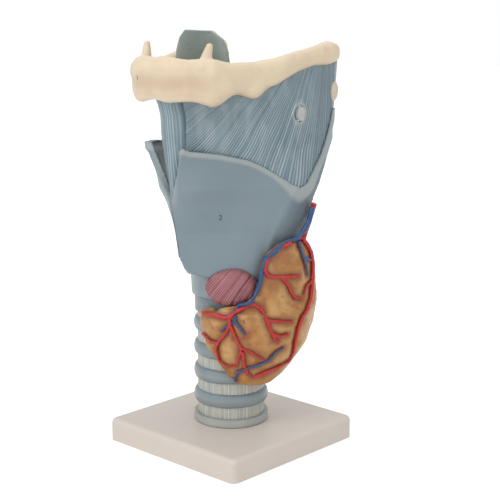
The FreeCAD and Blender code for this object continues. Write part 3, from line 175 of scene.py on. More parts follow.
def step(values: Array, low: float, high: float) -> Array:
    """A soft step.

    Args:
        values: What is compared with the limits.
        low: Where the step starts, at 0.
        high: Where it ends, at 1. It may be below low, and the step then falls.

    Returns:
        Numbers from 0 to 1.
    """
    share = np.clip((values - low) / (high - low), 0.0, 1.0)
    return share * share * (3.0 - 2.0 * share)


def hump(values: Array, middle: float, half_width: float) -> Array:
    """A round hump of height 1 about a middle value."""
    return np.exp(-(((values - middle) / half_width) ** 2))


def lumps(points: Array, size: float, seed: int, upright: float = 1.0) -> Array:
    """Smooth lumps in space, the same on every run.

    Args:
        points: Places in millimetres.
        size: Width of a lump.
        seed: Which set of lumps.
        upright: Below 1, the lumps are drawn out in height.

    Returns:
        Numbers from -1 to 1, one for each place.
    """
    place = points * np.array([1.0, 1.0, upright]) / size + seed * 17.13
    cell = np.floor(place).astype(np.int64)
    part = place - cell
    part = part * part * (3.0 - 2.0 * part)
    total = np.zeros(len(points))
    for corner in product((0, 1), repeat=3):
        at = cell + np.array(corner)
        mixed = np.bitwise_xor.reduce(at * HASH_STEPS, axis=1) ^ (seed * HASH_SEED_STEP)
        mixed = ((mixed ^ (mixed >> 13)) * HASH_FACTOR) & 0x7FFFFFFF
        weight = np.where(np.array(corner), part, 1.0 - part).prod(axis=1)
        total += weight * (mixed / 0x3FFFFFFF - 1.0)
    return total


def edges(cloud: Cloud) -> Array:
    """How much each point of a sheet lies on its narrow edges, from 0 to 1."""
    return 1.0 - step(np.abs(cloud.outward()), 0.25, 0.65)


def spread(values: Array) -> tuple[float, float]:
    """The middle of the values, and half of their range."""
    return (values.max() + values.min()) / 2.0, (values.max() - values.min()) / 2.0


def line_distance(across: Array, up: Array, path: Path) -> Array:
    """How far points of a flat view are from a chain of straight lines.

    Args:
        across: First coordinates of the points.
        up: Second coordinates.
        path: Corners of the chain.

    Returns:
        The distances.
    """
    best = np.full(len(across), np.inf)
    for (x0, y0), (x1, y1) in zip(path, path[1:]):
        run, rise = x1 - x0, y1 - y0
        share = np.clip(((across - x0) * run + (up - y0) * rise) / (run * run + rise * rise), 0.0, 1.0)
        best = np.minimum(best, np.hypot(across - x0 - share * run, up - y0 - share * rise))
    return best


def node_distance(cloud: Cloud, nodes: Sequence[str]) -> Array:
    """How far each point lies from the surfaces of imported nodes, in millimetres."""
    others = np.concatenate([read_cloud(frame["nodes"][node].data).points for node in nodes])
    middles = []
    for node in nodes:
        mesh = frame["nodes"][node].data
        for edge in mesh.edges:
            start, end = (mesh.vertices[number].co / MM for number in edge.vertices)
            count = int((end - start).length // 1.2)
            middles += [start.lerp(end, (n + 1) / (count + 1)) for n in range(count)]
    if middles:
        others = np.concatenate([others, np.array(middles)])
    tree = KDTree(len(others))
    for number, place in enumerate(others):
        tree.insert(place, number)
    tree.balance()
    return np.array([tree.find(place)[2] for place in cloud.points])


@dataclass(frozen=True)
class Swell:
    """A rounded swelling, or a dip where the height is below zero. Sizes are millimetres."""

    place: tuple[float, float, float]
    radius: float
    height: float

    def push(self, points: Array) -> Array:
        """How far it moves each point."""
        away = np.linalg.norm(points - np.array(self.place), axis=1)
        return self.height * np.exp(-((away / self.radius) ** 2))


def wound(phase: Array) -> Array:
    """Height of round strands side by side, from 0 to 1, where each whole number is a strand's ridge."""
    return 0.5 + 0.5 * np.cos(2.0 * math.pi * phase)


def fan(along: Array, height: Array, lean: float, turn: float) -> Array:
    """Which line of a fan of straight lines goes through each point.

    Args:
        along: Place along the foot of the fan.
        height: Height above the foot.
        lean: How far the first line leans for each unit of height.
        turn: How much less each further unit along the foot leans.

    Returns:
        Where each point's line meets the foot.
    """
    return (along - lean * height) / np.maximum(1.0 - turn * height, 0.2)


# Finishes


def linear(colour: Colour) -> tuple[float, float, float, float]:
    """A colour as written, 0 to 255, in the linear light that shaders take."""
    parts = [c / 255.0 for c in colour]
    parts = [c / 12.92 if c <= 0.04045 else ((c + 0.055) / 1.055) ** 2.4 for c in parts]
    return (parts[0], parts[1], parts[2], 1.0)


@dataclass(frozen=True)
class Finish:
    """One kind of surface: its colours, patches, strands and gloss. Sizes are millimetres."""

    title: str
    slot: Slot
    base: Colour
    light: Colour
    dark: Colour
    patch_size: float = 14.0
    patch_share: float = 0.35
    # Colour of the painted highlights.
    rim: Colour = (178, 182, 179)
    # Colour of the painted shade, also used for the random darker patches.
    hollow: Colour = (96, 114, 120)
    strand: Colour = (176, 190, 192)
    strand_share: float = 0.0
    roughness: float = 0.42
    roughness_spread: float = 0.10
    grain_size: float = 1.1
    grain_height: float = 0.02
    coat: float = 0.12
    metallic: float = 0.0
    specular: float = 0.4
    # Share of the painted light on upward faces.
    dust_share: float = 0.12


# Pale tint of the painted light on upward faces.
TOP_LIGHT_TINT: Colour = (224, 220, 212)
# Its painted shade colour is very dark, for the shaded insides of the laminae.
CARTILAGE = Finish("painted_cartilage", Slot.CARTILAGE, (132, 148, 156), (142, 156, 162), (120, 138, 147),
                   patch_size=26.0, patch_share=0.3, rim=(170, 178, 178), hollow=(50, 67, 77))
RING = Finish("painted_ring", Slot.CARTILAGE, (134, 147, 152), (149, 160, 164), (113, 130, 137),
              patch_size=18.0, rim=(170, 176, 175), hollow=(92, 108, 116))
COLLAR = Finish("painted_collar", Slot.CARTILAGE, (170, 174, 171), (182, 184, 179), (150, 158, 157),
                patch_size=14.0, rim=(186, 188, 184), hollow=(112, 126, 130))
SMALL_CARTILAGE = Finish("painted_small_cartilage", Slot.CARTILAGE, (168, 178, 180), (190, 196, 194),
                         (140, 154, 160), patch_size=7.0, patch_share=0.4, hollow=(110, 126, 134))
BEAD = Finish("painted_bead", Slot.BONE, (222, 204, 180), (236, 220, 198), (198, 176, 154),
              patch_size=5.0, patch_share=0.4, rim=(226, 214, 196), hollow=(170, 148, 128))
MEMBRANE = Finish("painted_membrane", Slot.LIGAMENT, (120, 142, 151), (136, 156, 164), (100, 124, 134),
                  patch_size=16.0, patch_share=0.6, rim=(192, 200, 202), hollow=(74, 94, 103),
                  strand=(190, 203, 208), strand_share=0.9, roughness=0.44)
BAND = Finish("painted_band", Slot.LIGAMENT, (176, 179, 174), (190, 190, 182), (150, 157, 156),
              patch_size=10.0, rim=(196, 192, 180), hollow=(120, 130, 132),
              strand=(232, 226, 208), strand_share=0.85, roughness=0.5)
TENDON = Finish("painted_tendon", Slot.LIGAMENT, (140, 154, 160), (154, 166, 171), (118, 134, 142),
                patch_size=12.0, hollow=(98, 114, 122),
                strand=(164, 176, 181), strand_share=0.35)
CORD = Finish("painted_cord", Slot.LIGAMENT, (150, 164, 169), (176, 186, 189), (120, 138, 146),
              patch_size=5.0, patch_share=0.4, strand=(232, 234, 230), strand_share=0.85)
NERVE = Finish("painted_nerve", Slot.LIGAMENT, (190, 192, 190), (206, 206, 202), (168, 172, 172),
               patch_size=4.0, patch_share=0.4)
BONE = Finish("painted_bone", Slot.BONE, (234, 214, 184), (246, 230, 196), (222, 190, 170),
              patch_size=17.0, patch_share=0.5, rim=(246, 231, 204), hollow=(204, 176, 150),
              roughness=0.46, grain_size=1.8)
LEAF = Finish("painted_leaf", Slot.LEAF, (122, 135, 129), (136, 147, 141), (108, 122, 118),
              patch_size=15.0, patch_share=0.4, rim=(176, 182, 174), hollow=(96, 110, 108))
MUSCLE = Finish("painted_muscle", Slot.MUSCLE, (142, 72, 80), (160, 90, 98), (116, 50, 62),
                patch_size=9.0, patch_share=0.4, rim=(136, 70, 82), hollow=(98, 38, 52),
                strand=(214, 168, 172), strand_share=0.75, roughness=0.36, coat=0.2)
UPPER_FOLD = Finish("painted_upper_fold", Slot.FOLD, (196, 142, 142), (210, 162, 160), (172, 114, 118),
                    patch_size=8.0, patch_share=0.45, strand=(226, 196, 192), strand_share=0.3)
FOLD = Finish("painted_fold", Slot.FOLD, (214, 190, 184), (228, 210, 202), (196, 160, 158),
              patch_size=8.0, patch_share=0.45, strand=(236, 224, 216), strand_share=0.3)
FAT = Finish("painted_fat", Slot.FAT, (214, 184, 112), (228, 204, 140), (190, 154, 84),
             patch_size=6.0, patch_share=0.6, rim=(232, 212, 156), hollow=(176, 138, 74))
GLAND = Finish("painted_gland", Slot.GLAND, (182, 128, 64), (212, 170, 108), (160, 84, 32),
               patch_size=10.0, patch_share=0.9, rim=(210, 168, 104), hollow=(128, 56, 24),
               roughness=0.34, grain_size=1.6, grain_height=0.012, coat=0.25)
ARTERY = Finish("painted_artery", Slot.ARTERY, (190, 22, 24), (212, 42, 40), (146, 12, 18),
                patch_size=5.0, patch_share=0.4, roughness=0.3, coat=0.25, grain_height=0.006)
VEIN = Finish("painted_vein", Slot.VEIN, (22, 72, 120), (44, 100, 148), (12, 42, 88),
              patch_size=5.0, patch_share=0.4, roughness=0.3, coat=0.25, grain_height=0.006)
BASE = Finish("moulded_base", Slot.BASE, (222, 212, 202), (228, 219, 210), (213, 202, 192),
              patch_size=30.0, patch_share=0.25, roughness=0.52, grain_size=0.7, grain_height=0.015,
              coat=0.05, dust_share=0.2)
STEEL = Finish("turned_steel", Slot.STEEL, (170, 172, 174), (196, 198, 200), (128, 130, 134),
               patch_size=3.0, patch_share=0.3, roughness=0.3, coat=0.0, metallic=1.0, grain_height=0.004,
               dust_share=0.05)
INK = Finish("printed_ink", Slot.CARTILAGE, (72, 84, 92), (84, 96, 104), (60, 70, 78),
             patch_size=1.0, patch_share=0.4, coat=0.0, grain_height=0.0)


class Wiring:
    """Adds nodes and links to one shader node tree."""

    def __init__(self, tree: bpy.types.NodeTree) -> None:
        """Works on that tree."""
        self.tree = tree

    def node(self, kind: str, **values: object) -> bpy.types.Node:
        """Adds a node of a kind, with its settings."""
        made = self.tree.nodes.new(f"ShaderNode{kind}")
        for name, value in values.items():
            setattr(made, name, value)
        return made

    def link(self, start: bpy.types.NodeSocket, end: bpy.types.NodeSocket) -> None:
        """Joins two sockets."""
        self.tree.links.new(start, end)

    def maths(self, operation: str, first: object, second: object = None,
              third: object = None) -> bpy.types.NodeSocket:
        """Adds a sum.

        Args:
            operation: Name of the operation.
            first: A number or a socket.
            second: Another, where the operation takes two.
            third: Another, where it takes three.

        Returns:
            The socket of the result.
        """
        made = self.node("Math", operation=operation)
        for place, value in enumerate((first, second, third)):
            if isinstance(value, bpy.types.NodeSocket):
                self.link(value, made.inputs[place])
            elif value is not None:
                made.inputs[place].default_value = value
        return made.outputs[0]

    def blended(self, share: object, first: object, second: object) -> bpy.types.NodeSocket:
        """Adds a blend of two colours.

        Args:
            share: Socket of the second colour's share.
            first: Socket of the first colour.
            second: Socket of the second.

        Returns:
            The socket of the blend.
        """
        made = self.node("Mix", data_type="RGBA")
        self.link(share, made.inputs[0])
        self.link(first, made.inputs[6])
        self.link(second, made.inputs[7])
        return made.outputs[2]

    def ramp(self, value: bpy.types.NodeSocket, low: float, high: float) -> bpy.types.NodeSocket:
        """Adds a soft step of a value from low to high."""
        made = self.node("MapRange", interpolation_type="SMOOTHSTEP")
        self.link(value, made.inputs["Value"])
        made.inputs["From Min"].default_value = low
        made.inputs["From Max"].default_value = high
        return made.outputs[0]

    def cloudy(self, vector: bpy.types.NodeSocket, scale: bpy.types.NodeSocket, detail: float,
               shift: float) -> bpy.types.NodeSocket:
        """Adds soft noise.

        Args:
            vector: Socket of the place.
            scale: Socket of the noise's scale.
            detail: Number of finer layers.
            shift: Moves the noise, so that two differ.

        Returns:
            The socket of the noise.
        """
        moved = self.node("VectorMath", operation="ADD")
        moved.inputs[1].default_value = (shift, shift * 0.7, shift * 1.3)
        self.link(vector, moved.inputs[0])
        made = self.node("TexNoise")
        made.inputs["Detail"].default_value = detail
        self.link(moved.outputs[0], made.inputs["Vector"])
        self.link(scale, made.inputs["Scale"])
        return made.outputs["Fac"]


class GroupMaker(Wiring):
    """Builds one shader node group with named sockets."""

    def __init__(self, name: str, takes: dict[str, str], gives: dict[str, str]) -> None:
        """Starts the group.

        Args:
            name: The group's name.
            takes: Its inputs, each with its kind: Color, Float or Vector.
            gives: Its outputs.
        """
        super().__init__(bpy.data.node_groups.new(name, "ShaderNodeTree"))
        for way, sockets in (("INPUT", takes), ("OUTPUT", gives)):
            for socket, kind in sockets.items():
                self.tree.interface.new_socket(socket, in_out=way, socket_type=f"NodeSocket{kind}")
        self.given = self.tree.nodes.new("NodeGroupInput").outputs
        self.results = self.tree.nodes.new("NodeGroupOutput").inputs

    def product(self, *values: object) -> bpy.types.NodeSocket:
        """Adds the product of sockets or numbers."""
        total = values[0]
        for value in values[1:]:
            total = self.maths("MULTIPLY", total, value)
        return total

    def give(self, **values: bpy.types.NodeSocket) -> bpy.types.NodeTree:
        """Joins the results, and returns the finished group."""
        for name, value in values.items():
            self.link(value, self.results[name])
        return self.tree


def uneven_paint() -> bpy.types.NodeTree:
    """Lighter and darker patches over a base colour."""
    group = GroupMaker("uneven_paint", {"Place": "Vector", "Base": "Color", "Light": "Color",
                                        "Dark": "Color", "Scale": "Float", "Share": "Float"},
                       {"Color": "Color"})
    given = group.given
    bright = group.ramp(group.cloudy(given["Place"], given["Scale"], 3.0, 0.31), 0.44, 0.72)
    fine = group.product(given["Scale"], 1.9)
    deep = group.ramp(group.cloudy(given["Place"], fine, 4.0, 1.73), 0.50, 0.76)
    colour = group.blended(group.product(bright, given["Share"]), given["Base"], given["Light"])
    return group.give(Color=group.blended(group.product(deep, given["Share"]), colour, given["Dark"]))


def painted_strands() -> bpy.types.NodeTree:
    """Fine strands that follow the strand mark, lighter on their ridges."""
    group = GroupMaker("painted_strands", {"Color": "Color", "Strand Color": "Color",
                                           "Strand": "Float", "Share": "Float"},
                       {"Color": "Color", "Height": "Float"})
    given = group.given
    turned = group.maths("COSINE", group.product(given["Strand"], 2.0 * math.pi))
    sharp = group.maths("POWER", group.maths("MULTIPLY_ADD", turned, 0.5, 0.5), 1.7)
    uneven = group.node("TexNoise", noise_dimensions="1D")
    uneven.inputs["Detail"].default_value = 3.0
    uneven.inputs["Scale"].default_value = 0.62
    group.link(given["Strand"], uneven.inputs["W"])
    height = group.product(sharp, group.ramp(uneven.outputs["Fac"], 0.32, 0.66))
    share = group.product(height, given["Share"])
    return group.give(Color=group.blended(share, given["Color"], given["Strand Color"]), Height=height)


def edge_tone() -> bpy.types.NodeTree:
    """Painted highlights and painted shade where the casting is marked so; the shade mark also brings some
    random darker patches.
    """
    group = GroupMaker("edge_tone", {"Color": "Color", "Rim Color": "Color", "Hollow Color": "Color",
                                     "Rim": "Float", "Hollow": "Float"}, {"Color": "Color"})
    given = group.given
    colour = group.blended(given["Hollow"], given["Color"], given["Hollow Color"])
    return group.give(Color=group.blended(given["Rim"], colour, given["Rim Color"]))


def brushed_grain() -> bpy.types.NodeTree:
    """Brushed paint: fine unevenness in gloss and height."""
    group = GroupMaker("brushed_grain", {"Place": "Vector", "Scale": "Float", "Roughness": "Float",
                                         "Spread": "Float"},
                       {"Roughness": "Float", "Height": "Float"})
    given = group.given
    fine = group.cloudy(given["Place"], given["Scale"], 3.0, 2.9)
    broad = group.cloudy(given["Place"], group.product(given["Scale"], 0.13), 2.0, 5.1)
    both = group.maths("SUBTRACT", group.maths("ADD", fine, broad), 1.0)
    rough = group.maths("MULTIPLY_ADD", both, given["Spread"], given["Roughness"])
    return group.give(Roughness=rough, Height=fine)


def settled_dust() -> bpy.types.NodeTree:
    """Painted light on what faces up, broken into pale spots."""
    group = GroupMaker("settled_dust", {"Place": "Vector", "Color": "Color", "Dust Color": "Color",
                                        "Share": "Float"}, {"Color": "Color"})
    given = group.given
    facing = group.node("SeparateXYZ")
    group.link(group.node("NewGeometry").outputs["Normal"], facing.inputs[0])
    scale = group.node("Value")
    scale.outputs[0].default_value = 300.0
    spots = group.ramp(group.cloudy(given["Place"], scale.outputs[0], 4.0, 8.3), 0.35, 0.70)
    share = group.product(group.ramp(facing.outputs["Z"], 0.35, 0.98), spots, given["Share"])
    return group.give(Color=group.blended(share, given["Color"], given["Dust Color"]))


class Paintbox:
    """Shared node groups, and the materials made from them."""

    def __init__(self) -> None:
        """Builds the groups."""
        self.made: dict[str, bpy.types.Material] = {}
        self.patches = uneven_paint()
        self.strands = painted_strands()
        self.edges = edge_tone()
        self.grain = brushed_grain()
        self.dust = settled_dust()

    def material(self, finish: Finish) -> bpy.types.Material:
        """The material of a finish, made the first time it is asked for.

        Args:
            finish: The kind of surface.

        Returns:
            The material.
        """
        if finish.title in self.made:
            return self.made[finish.title]
        made = bpy.data.materials.new(finish.title)
        made.use_nodes = True
        wires = Wiring(made.node_tree)
        shader = made.node_tree.nodes["Principled BSDF"]
        place = wires.node("TexCoord").outputs["Object"]

        def placed(group: bpy.types.NodeTree, **values: object) -> bpy.types.bpy_prop_collection:
            """Puts a group in the material, sets or joins its inputs and returns its outputs."""
            node = wires.node("Group", node_tree=group)
            for name, value in values.items():
                socket = node.inputs[name.replace("_", " ")]
                if isinstance(value, bpy.types.NodeSocket):
                    wires.link(value, socket)
                else:
                    socket.default_value = value
            return node.outputs

        def mark(which: Mark) -> bpy.types.NodeSocket:
            """The socket that reads a mark."""
            return wires.node("Attribute", attribute_name=which.value).outputs["Fac"]

        colour = placed(self.patches, Place=place, Base=linear(finish.base), Light=linear(finish.light),
                        Dark=linear(finish.dark), Scale=1.0 / (finish.patch_size * MM),
                        Share=finish.patch_share)["Color"]
        grain = placed(self.grain, Place=place, Scale=1.0 / (finish.grain_size * MM),
                       Roughness=finish.roughness, Spread=finish.roughness_spread)
        height = grain["Height"]
        if finish.strand_share > 0.0:
            strands = placed(self.strands, Color=colour, Strand_Color=linear(finish.strand),
                             Strand=mark(Mark.STRAND), Share=finish.strand_share)
            colour = strands["Color"]
            height = wires.maths("ADD", height, strands["Height"])
        # Painted highlights and painted shade from the marks on the casting.
        colour = placed(self.edges, Color=colour, Rim=mark(Mark.RIM), Hollow=mark(Mark.HOLLOW),
                        Rim_Color=linear(finish.rim), Hollow_Color=linear(finish.hollow))["Color"]
        # Painted light on upward faces, in pale spots.
        colour = placed(self.dust, Place=place, Color=colour, Dust_Color=linear(TOP_LIGHT_TINT),
                        Share=finish.dust_share)["Color"]
        wires.link(colour, shader.inputs["Base Color"])
        wires.link(grain["Roughness"], shader.inputs["Roughness"])
        if finish.grain_height > 0.0:
            bump = wires.node("Bump")
            bump.inputs["Distance"].default_value = finish.grain_height * MM
            wires.link(height, bump.inputs["Height"])
            wires.link(bump.outputs["Normal"], shader.inputs["Normal"])
        shader.inputs["Coat Weight"].default_value = finish.coat
        shader.inputs["Coat Roughness"].default_value = 0.3
        shader.inputs["Metallic"].default_value = finish.metallic
        shader.inputs["Specular IOR Level"].default_value = finish.specular
        self.made[finish.title] = made
        return made

    def dress(self, piece: bpy.types.Object, finish: Finish) -> None:
        """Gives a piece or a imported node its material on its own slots."""
        if not piece.material_slots:
            piece.data.materials.append(None)
        for slot in piece.material_slots:
            slot.link = "OBJECT"
            slot.material = self.material(finish)


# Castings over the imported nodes


def read_cloud(mesh: bpy.types.Mesh) -> Cloud:
    """The points and normals of a mesh, in millimetres."""
    points = np.empty(len(mesh.vertices) * 3)
    mesh.vertices.foreach_get("co", points)
    normals = np.empty(len(mesh.vertices) * 3)
    mesh.vertices.foreach_get("normal", normals)
    return Cloud(points.reshape(-1, 3) / MM, normals.reshape(-1, 3))


def write_marks(mesh: bpy.types.Mesh, marks: dict[Mark, Array]) -> None:
    """Stores marks on the points of a mesh."""
    for mark, values in marks.items():
        layer = mesh.attributes.new(mark.value, "FLOAT", "POINT")
        layer.data.foreach_set("value", np.asarray(values, np.float32))


def placed_object(name: str, data: bpy.types.ID) -> bpy.types.Object:
    """A new object in the scene, with its mesh, camera or lamp."""
    made = bpy.data.objects.new(name, data)
    bpy.context.scene.collection.objects.link(made)
    return made


def plain(cloud: Cloud) -> Shaping:
    """A casting with slight hand finishing and nothing else."""
    return Shaping(0.06 * cloud.lumps(5.0, 3))


@dataclass
class Workshop:
    """Makes castings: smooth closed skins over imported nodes, carved by a rule and painted."""

    paints: Paintbox
    made: list[bpy.types.Object] = field(default_factory=list)

    def finished(self, piece: bpy.types.Object, body: str, finish: Finish,
                 nodes: Sequence[str]) -> bpy.types.Object:
        """Paints a piece, and says what it rides on and stands for.

        Args:
            piece: The piece, in place.
            body: Name of the body that carries it.
            finish: Its surface.
            nodes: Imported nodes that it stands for.

        Returns:
            The same piece.
        """
        self.paints.dress(piece, finish)
        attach(piece, body)
        if nodes:
            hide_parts(*nodes)
        self.made.append(piece)
        LOG.info("%s: %d faces, on %s", piece.name, len(piece.data.polygons), body)
        return piece

    def cast(self, name: str, nodes: Sequence[str], finish: Finish, voxel: float,
             ease: int = 4, rule: Rule = plain, body: str = STAND) -> bpy.types.Object:
        """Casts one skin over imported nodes.

        Args:
            name: Name of the new piece.
            nodes: The nodes that it covers and stands for.
            finish: Its surface.
            voxel: Fineness of the skin in millimetres.
            ease: How often the skin is smoothed.
            rule: What is carved into it.
            body: Name of the body that carries it.

        Returns:
            The piece.
        """
        shell = bmesh.new()
        for node in nodes:
            shell.from_mesh(frame["nodes"][node].data)
        bmesh.ops.remove_doubles(shell, verts=shell.verts, dist=0.002 * MM)
        rough = bpy.data.meshes.new(name)
        shell.to_mesh(rough)
        shell.free()
        piece = placed_object(name, rough)
        remesh = piece.modifiers.new("skin", "REMESH")
        remesh.mode = "VOXEL"
        remesh.voxel_size = voxel * MM
        smooth = piece.modifiers.new("ease", "SMOOTH")
        smooth.factor = 0.5
        smooth.iterations = ease
        skin = bpy.data.meshes.new_from_object(piece.evaluated_get(bpy.context.evaluated_depsgraph_get()))
        piece.modifiers.clear()
        piece.data = skin
        bpy.data.meshes.remove(rough)
        skin.name = name
        skin.materials.clear()
        self.carve(skin, rule)
        return self.finished(piece, body, finish, nodes)

    @staticmethod
    def carve(skin: bpy.types.Mesh, rule: Rule) -> None:
        """Moves the points of a skin by a rule, stores its marks and shades it smooth."""
        cloud = read_cloud(skin)
        shaping = rule(cloud)
        moved = (cloud.points + cloud.normals * shaping.push[:, None]) * MM
        skin.vertices.foreach_set("co", moved.ravel())
        write_marks(skin, shaping.marks)
        skin.shade_smooth()
        skin.update()

    def keep(self, nodes: Sequence[str], finish: Finish) -> None:
        """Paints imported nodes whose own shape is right."""
        for node in nodes:
            self.paints.dress(frame["nodes"][node], finish)
            LOG.info("%s: packed node, %s", node, finish.title)


# Sub-assemblies


@dataclass
class Stand:
    """The slab with its screw, and the windpipe that stands on it."""

    tube_radius: float = 19.1
    bore_radius: float = 15.5
    strand_count: int = 118
    strand_depth: float = 0.22
    rows: int = 96
    points_per_strand: int = 6
    drifts: tuple[tuple[float, float], ...] = ((0.35, 9.0), (0.22, 31.0))
    sway_size: float = 0.08
    sway_rate: float = 0.9
    end_ease: float = 1.5

    def build(self, shop: Workshop) -> None:
        """Paints the slab and its fastenings, and makes the windpipe."""
        shop.keep(["base_plate", "screw_cap"], BASE)
        shop.keep(["base_screw", "base_washer"], STEEL)
        shop.keep(["trachea_end_plug"], TENDON)
        self.tube(shop)
        shop.cast("trachea_foot_collar", ["tracheal_collar"], COLLAR, 0.6, 3, self.ring_rule)
        for number in range(1, 5):
            shop.cast(f"trachea_ring_{number}", [f"tracheal_ring_{number}"], RING, 0.6, 3, self.ring_rule)
        shop.cast("cricoid_body", ["cricoid_cartilage"], RING, 0.6, 4, self.cricoid_rule)

    @staticmethod
    def ring_rule(cloud: Cloud) -> Shaping:
        """Hand-modelled rings: slight unevenness, painted shade in the creases above and below, and a
        painted highlight along the middle.
        """
        middle, half = spread(cloud.z)
        # Painted shade toward the creases at top and bottom; painted highlight along the middle band.
        crease = step(np.abs(cloud.z - middle), half * 0.62, half)
        push = 0.14 * cloud.lumps(7.0, 11) - 0.1
        crown = 0.22 * hump(cloud.z, middle, half * 0.4)
        return Shaping(push, {Mark.HOLLOW: crease * 0.45, Mark.RIM: crown})

    @staticmethod
    def cricoid_rule(cloud: Cloud) -> Shaping:
        """The signet shape of the ring, a little uneven, with painted shade on its inner faces, random
        darker patches and a slightly darker tone all over.
        """
        inner = step(cloud.outward(), -0.2, -0.8)
        push = 0.16 * cloud.lumps(8.0, 23) * (1.0 - inner) - 0.1
        uneven = step(cloud.lumps(11.0, 5), 0.1, 0.6)
        # Painted shade on the inner faces, plus random darker patches and a slight overall darkening.
        return Shaping(push, {Mark.HOLLOW: 0.18 + 0.4 * inner + 0.2 * uneven})

    def tube(self, shop: Workshop) -> None:
        """The windpipe's wall: a tube with fine upright strands over its bands."""
        low, high = (corner.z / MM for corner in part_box("trachea_tube"))
        around = self.strand_count * self.points_per_strand
        turns = np.arange(around) / around
        phase = turns * self.strand_count
        for size, waves in self.drifts:
            phase = phase + size * np.sin(turns * 2.0 * math.pi * waves)
        heights = np.linspace(low, high, self.rows)
        rings: list[tuple[Array, Array]] = []
        for height in heights:
            end = min(height - low, high - height)
            grown = self.strand_depth * min(1.0, end / self.end_ease)
            sway = phase + self.sway_size * math.sin(height * self.sway_rate)
            radius = self.tube_radius - grown * (1.0 - wound(sway))
            rings.append((radius, np.full(around, height)))
        inner = np.full(around, self.bore_radius)
        rings += [(inner, np.full(around, height)) for height in (high, (low + high) / 2.0, low)]
        angle = turns * 2.0 * math.pi
        places = np.array([np.stack([r * np.cos(angle), r * np.sin(angle), z], axis=1) for r, z in rings])
        count = len(rings)
        faces = [
            (a * around + n, a * around + (n + 1) % around, b * around + (n + 1) % around, b * around + n)
            for a, b in zip(range(count), [*range(1, count), 0])
            for n in range(around)
        ]
        mesh = bpy.data.meshes.new("trachea_wall")
        mesh.from_pydata((places.reshape(-1, 3) * MM).tolist(), [], faces)
        write_marks(mesh, {Mark.STRAND: np.tile(phase, count)})
        mesh.shade_smooth()
        mesh.update()
        shop.finished(placed_object("trachea_wall", mesh), STAND, BAND, ["trachea_tube"])


